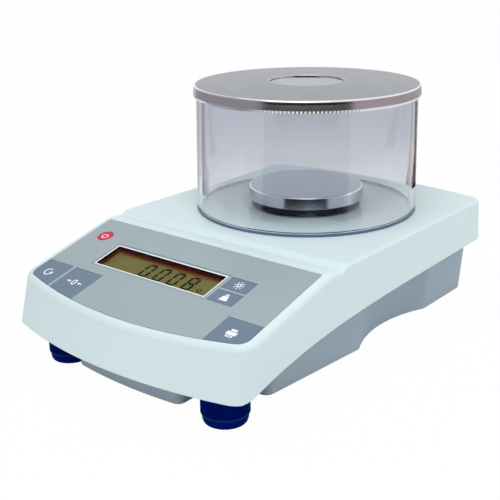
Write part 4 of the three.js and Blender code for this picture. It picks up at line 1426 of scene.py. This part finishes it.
def noise(tree, scale, detail=3):
    inputs = {"Vector": object_place(tree), "Scale": scale, "Detail": detail}
    return new_node(tree, "TexNoise", inputs).outputs["Fac"]


def ranged(tree, value, low, high):
    inputs = {"Value": value, "From Min": noise_low, "From Max": noise_high, "To Min": low, "To Max": high}
    return new_node(tree, "MapRange", inputs).outputs["Result"]


def around(tree, value, middle, share):
    return ranged(tree, value, middle * (1 - share), middle * (1 + share))


def stepped(tree, value, start, end):
    inputs = {"Value": value, "From Min": start * mm, "From Max": end * mm}
    node = new_node(tree, "MapRange", inputs)
    node.interpolation_type = "SMOOTHSTEP"
    return node.outputs["Result"]


def blended(tree, factor, first, second):
    node = tree.nodes.new("ShaderNodeMix")
    node.data_type = "RGBA"
    return set_inputs(tree, node, {"Factor": factor, "A": first, "B": second}).outputs["Result"]


def greater(tree, first, second):
    node = new_node(tree, "Math", {0: first, 1: second})
    node.operation = "MAXIMUM"
    return node.outputs["Value"]


def scaled_colour(base, share):
    return tuple(min(channel * share, 1) for channel in base[:3]) + (1,)


def uneven(tree, value, base, share):
    darker, lighter = scaled_colour(base, 1 - share), scaled_colour(base, 1 + share)
    return blended(tree, ranged(tree, value, 0, 1), darker, lighter)


def bumped(tree, height, depth):
    inputs = {"Strength": 1, "Distance": depth * mm, "Height": height}
    return new_node(tree, "Bump", inputs).outputs["Normal"]


def surface(name, shade, roughness, tone_share, grain, depth, gloss=0.5, metallic=0):
    material, tree, shader = new_material(name)
    fine = noise(tree, grain, fine_detail)
    set_inputs(tree, shader, {
        "Base Color": uneven(tree, noise(tree, patch_scale), colour(*shade), tone_share),
        "Roughness": around(tree, fine, roughness, rough_share),
        "Normal": bumped(tree, fine, depth),
        "Specular IOR Level": gloss,
        "Metallic": metallic,
    })
    return material


# Steel with rings brushed about the pan's axis
def brushed(name, shade, roughness, depth):
    material, tree, shader = new_material(name)
    shift = (-pan_axis[0] * mm, -pan_axis[1] * mm, 0)
    flat_inputs = {"Vector": object_place(tree), "Location": shift, "Scale": (1, 1, 0)}
    flat = new_node(tree, "Mapping", flat_inputs)
    reach = new_node(tree, "VectorMath", {0: flat.outputs["Vector"]})
    reach.operation = "LENGTH"
    noise_node = tree.nodes.new("ShaderNodeTexNoise")
    noise_node.noise_dimensions = "1D"
    ring_inputs = {"W": reach.outputs["Value"], "Scale": ring_scale, "Detail": ring_detail}
    rings = set_inputs(tree, noise_node, ring_inputs).outputs["Fac"]
    set_inputs(tree, shader, {
        "Base Color": uneven(tree, rings, colour(*shade), ring_tone_share),
        "Roughness": around(tree, noise(tree, wear_scale), roughness, wear_share),
        "Normal": bumped(tree, rings, depth),
        "Metallic": 1,
    })
    return material


# Glass that lets light through to what is behind it, with a darker tint painted near its top as shade if
# there is one
def glass(name, tint, shadow_share, ior, painted_top_shade):
    material, tree, shader = new_material(name)
    smear = noise(tree, smear_scale)
    tone = uneven(tree, smear, tint, smear_share)
    if painted_top_shade:
        split = new_node(tree, "SeparateXYZ", {"Vector": object_place(tree)})
        rise = stepped(tree, split.outputs["Z"], top_shade_start, top_shade_end)
        tone = blended(tree, rise, tone, painted_top_shade)
    set_inputs(tree, shader, {
        "Base Color": tone,
        "Roughness": ranged(tree, smear, *glass_roughness),
        "Transmission Weight": 1,
        "IOR": ior,
    })
    passed = (shadow_share, shadow_share, shadow_share, 1)
    clear = new_node(tree, "BsdfTransparent", {"Color": passed})
    in_shadow = light_path(tree)["Is Shadow Ray"]
    show_mixed(tree, "Material Output", in_shadow, shader.outputs["BSDF"], clear.outputs["BSDF"])
    return material


# Olive behind the display's window, with a dark brown shadow painted along its rear and left edges
def display_material(name):
    material, tree, shader = new_material(name)
    across = new_node(tree, "SeparateXYZ", {"Vector": object_place(tree)})
    slope = (0, math.cos(panel_slope), math.sin(panel_slope))
    along = new_node(tree, "VectorMath", {0: object_place(tree), 1: slope})
    along.operation = "DOT_PRODUCT"
    back = panel_back * math.cos(panel_slope) + panel_back_height * math.sin(panel_slope) + window[3]
    # Masks of the shadow painted from the rear wall and from the left wall
    rear = stepped(tree, along.outputs["Value"], back - lcd_rear_reach, back - lcd_rear_inset)
    left = stepped(tree, across.outputs["X"], window[0] + lcd_left_reach, window[0] - lcd_left_lap)
    patchy = uneven(tree, noise(tree, lcd_patch_scale), colour(*lcd_colour), lcd_patch_share)
    set_inputs(tree, shader, {
        "Base Color": blended(tree, greater(tree, rear, left), patchy, colour(*lcd_painted_shadow_colour)),
        "Roughness": ranged(tree, noise(tree, lcd_grain), *lcd_roughness),
        "Specular IOR Level": lcd_gloss,
    })
    return material


materials = {name: surface(name, *values) for name, values in plain_finishes.items()}
for name, values in metal_finishes.items():
    materials[name] = surface(name, *values, metallic=1)
for name, values in brushed_finishes.items():
    materials[name] = brushed(name, *values)
for name, values in glass_finishes.items():
    materials[name] = glass(name, *values)
materials["lcd_olive"] = display_material("lcd_olive")

# Inner nodes keep their solids. The first of these words in a node's name gives its finish.
inner_finishes = {
    "screw": "steel",
    "switch": "black_plastic",
    "lead": "black_plastic",
    "ribbon": "frame_white",
    "insert": "brass",
    "board": "board_green",
    "chassis_plate": "cast_aluminium",
    "load_cell": "cast_aluminium",
    "carrier_arm": "cast_aluminium",
}


def inner_finish(name):
    found = [finish for word, finish in inner_finishes.items() if word in name]
    return found[0] if found else "steel"


def dress_inner_nodes():
    for name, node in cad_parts.items():
        node.data.materials.clear()
        node.data.materials.append(materials[inner_finish(name)])


# Floor and world, which a direct look, reflections and glass see as white
floor_half = 30000
floor_tone = 0.85
floor_roughness = 0.9
floor_glow_share = 0.98
world_light = 0.695
white = (1, 1, 1, 1)


def add_floor():
    corners = box_outline((-floor_half, floor_half, -floor_half, floor_half))
    floor = mesh_piece("floor", raised(corners, 0), flat_cap(0, len(corners)))
    material, tree, shader = new_material("floor_white")
    tone = (floor_tone, floor_tone, floor_tone, 1)
    set_inputs(tree, shader, {"Base Color": tone, "Roughness": floor_roughness})
    glow = new_node(tree, "Emission", {"Strength": 1})
    amount = new_node(tree, "Math", {0: light_path(tree)["Is Camera Ray"], 1: floor_glow_share})
    amount.operation = "MULTIPLY"
    glowing = amount.outputs["Value"]
    show_mixed(tree, "Material Output", glowing, shader.outputs["BSDF"], glow.outputs["Emission"])
    floor.data.materials.append(material)


def add_world():
    world = bpy.data.worlds.new("studio")
    world.use_nodes = True
    bpy.context.scene.world = world
    tree = world.node_tree
    light = set_inputs(tree, tree.nodes["Background"], {"Color": white, "Strength": world_light})
    seen = new_node(tree, "Background", {"Color": white, "Strength": 1})
    path = light_path(tree)
    looked_at = greater(tree, path["Is Camera Ray"], path["Is Glossy Ray"])
    looked_at = greater(tree, looked_at, path["Is Transmission Ray"])
    show_mixed(tree, "World Output", looked_at, light.outputs["Background"], seen.outputs["Background"])


# Lamps, as place, target, size, power in watts, and whether reflections show them
lamps = {
    "top_lamp": ((200, -700, 2200), (0, 0, 50), 1800, 15.5, True),
    "rear_right_lamp": ((600, 500, 200), (100, 120, 30), 300, 0.5, False),
    "front_lamp": ((260, -240, 620), (40, -20, 80), 300, 0.84, False),
}


def add_lamp(name, place, target, size, power, in_reflections):
    lamp = bpy.data.objects.new(name, bpy.data.lights.new(name, "AREA"))
    lamp.data.shape = "DISK"
    lamp.data.size = size * mm
    lamp.data.energy = power
    lamp.location = Vector(place) * mm
    lamp.visible_glossy = in_reflections
    lamp.rotation_euler = (Vector(target) - Vector(place)).to_track_quat("-Z", "Y").to_euler()
    bpy.context.scene.collection.objects.link(lamp)


# Cards round the balance, which reflections show and no direct look does. A look through glass
# shows the "glass" ones, and the "mirrored" one after a reflection, but not the "metal" ones. Each
# lies flat through its rows of (radius, first angle, last angle), in degrees from the right side.
# Some end in a wall that leans out to (radius, height).
card_steps = 24
card_lift = 2
front_arc = (-96, -8)
left_arc = (160, 264)
right_arc = (-8, 100)
left_strip_rows = [(300, 169, 190), (520, 169, 186), (640, 168, 178), (1300, 167, 175)]
cards = {
    "front_card": ((22, 8, 12), "mirrored", [(330, *front_arc), (900, *front_arc)], (1100, 320)),
    "left_card": ((196, 192, 198), "metal", [(500, *left_arc), (1400, *left_arc)], (1400, 2000)),
    "right_card": ((216, 208, 212), "metal", [(500, *right_arc), (1100, *right_arc)], (1100, 320)),
    "left_strip": ((66, 66, 80), "glass", left_strip_rows),
    "left_line": ((120, 124, 130), "glass", [(300, 150, 154), (1300, 150, 154)]),
    "right_wedge": ((52, 16, 20), "glass", [(300, 72, 99), (520, 82, 99), (670, 90, 99)]),
    "right_line": ((14, 12, 20), "glass", [(670, 90, 99), (1300, 92, 101)]),
}


def card_arc(radius, start, end, height):
    return raised(arc(0, 0, radius, math.radians(start), math.radians(end), card_steps), height)


def add_card(name, shade, seen_by, rows, wall=None):
    arcs = [card_arc(*row, card_lift) for row in rows]
    if wall:
        wall_radius, wall_height = wall
        arcs.append(card_arc(wall_radius, *rows[-1][1:], wall_height))
    faces = []
    for level in range(len(arcs) - 1):
        low, high = level * (card_steps + 1), (level + 1) * (card_steps + 1)
        faces += [[low + i, low + i + 1, high + i + 1, high + i] for i in range(card_steps)]
    card = mesh_piece(name, [point for ring in arcs for point in ring], faces)
    material, tree, shader = new_material(name)
    set_inputs(tree, shader, {"Base Color": colour(*shade), "Roughness": 1, "Specular IOR Level": 0})
    card.data.materials.append(material)
    if seen_by == "mirrored":
        clear = tree.nodes.new("ShaderNodeBsdfTransparent")
        reflected = light_path(tree)["Glossy Depth"]
        show_mixed(tree, "Material Output", reflected, clear.outputs["BSDF"], shader.outputs["BSDF"])
    card.visible_camera = False
    card.visible_diffuse = False
    card.visible_transmission = seen_by != "metal"
    card.visible_shadow = False


bpy.context.scene.view_settings.view_transform = "Standard"
add_floor()
add_world()
for name, values in lamps.items():
    add_lamp(name, *values)
for name, values in cards.items():
    add_card(name, *values)
dress_inner_nodes()
add_upper_housing()
add_lower_housing()
add_serial_port()
add_power_inlet()
add_case_screws()
add_panel_film()
add_keys()
add_key_signs()
add_display()
add_front_feet()
add_rear_feet()
add_pan()
add_pan_support()
add_shield()
add_lid()
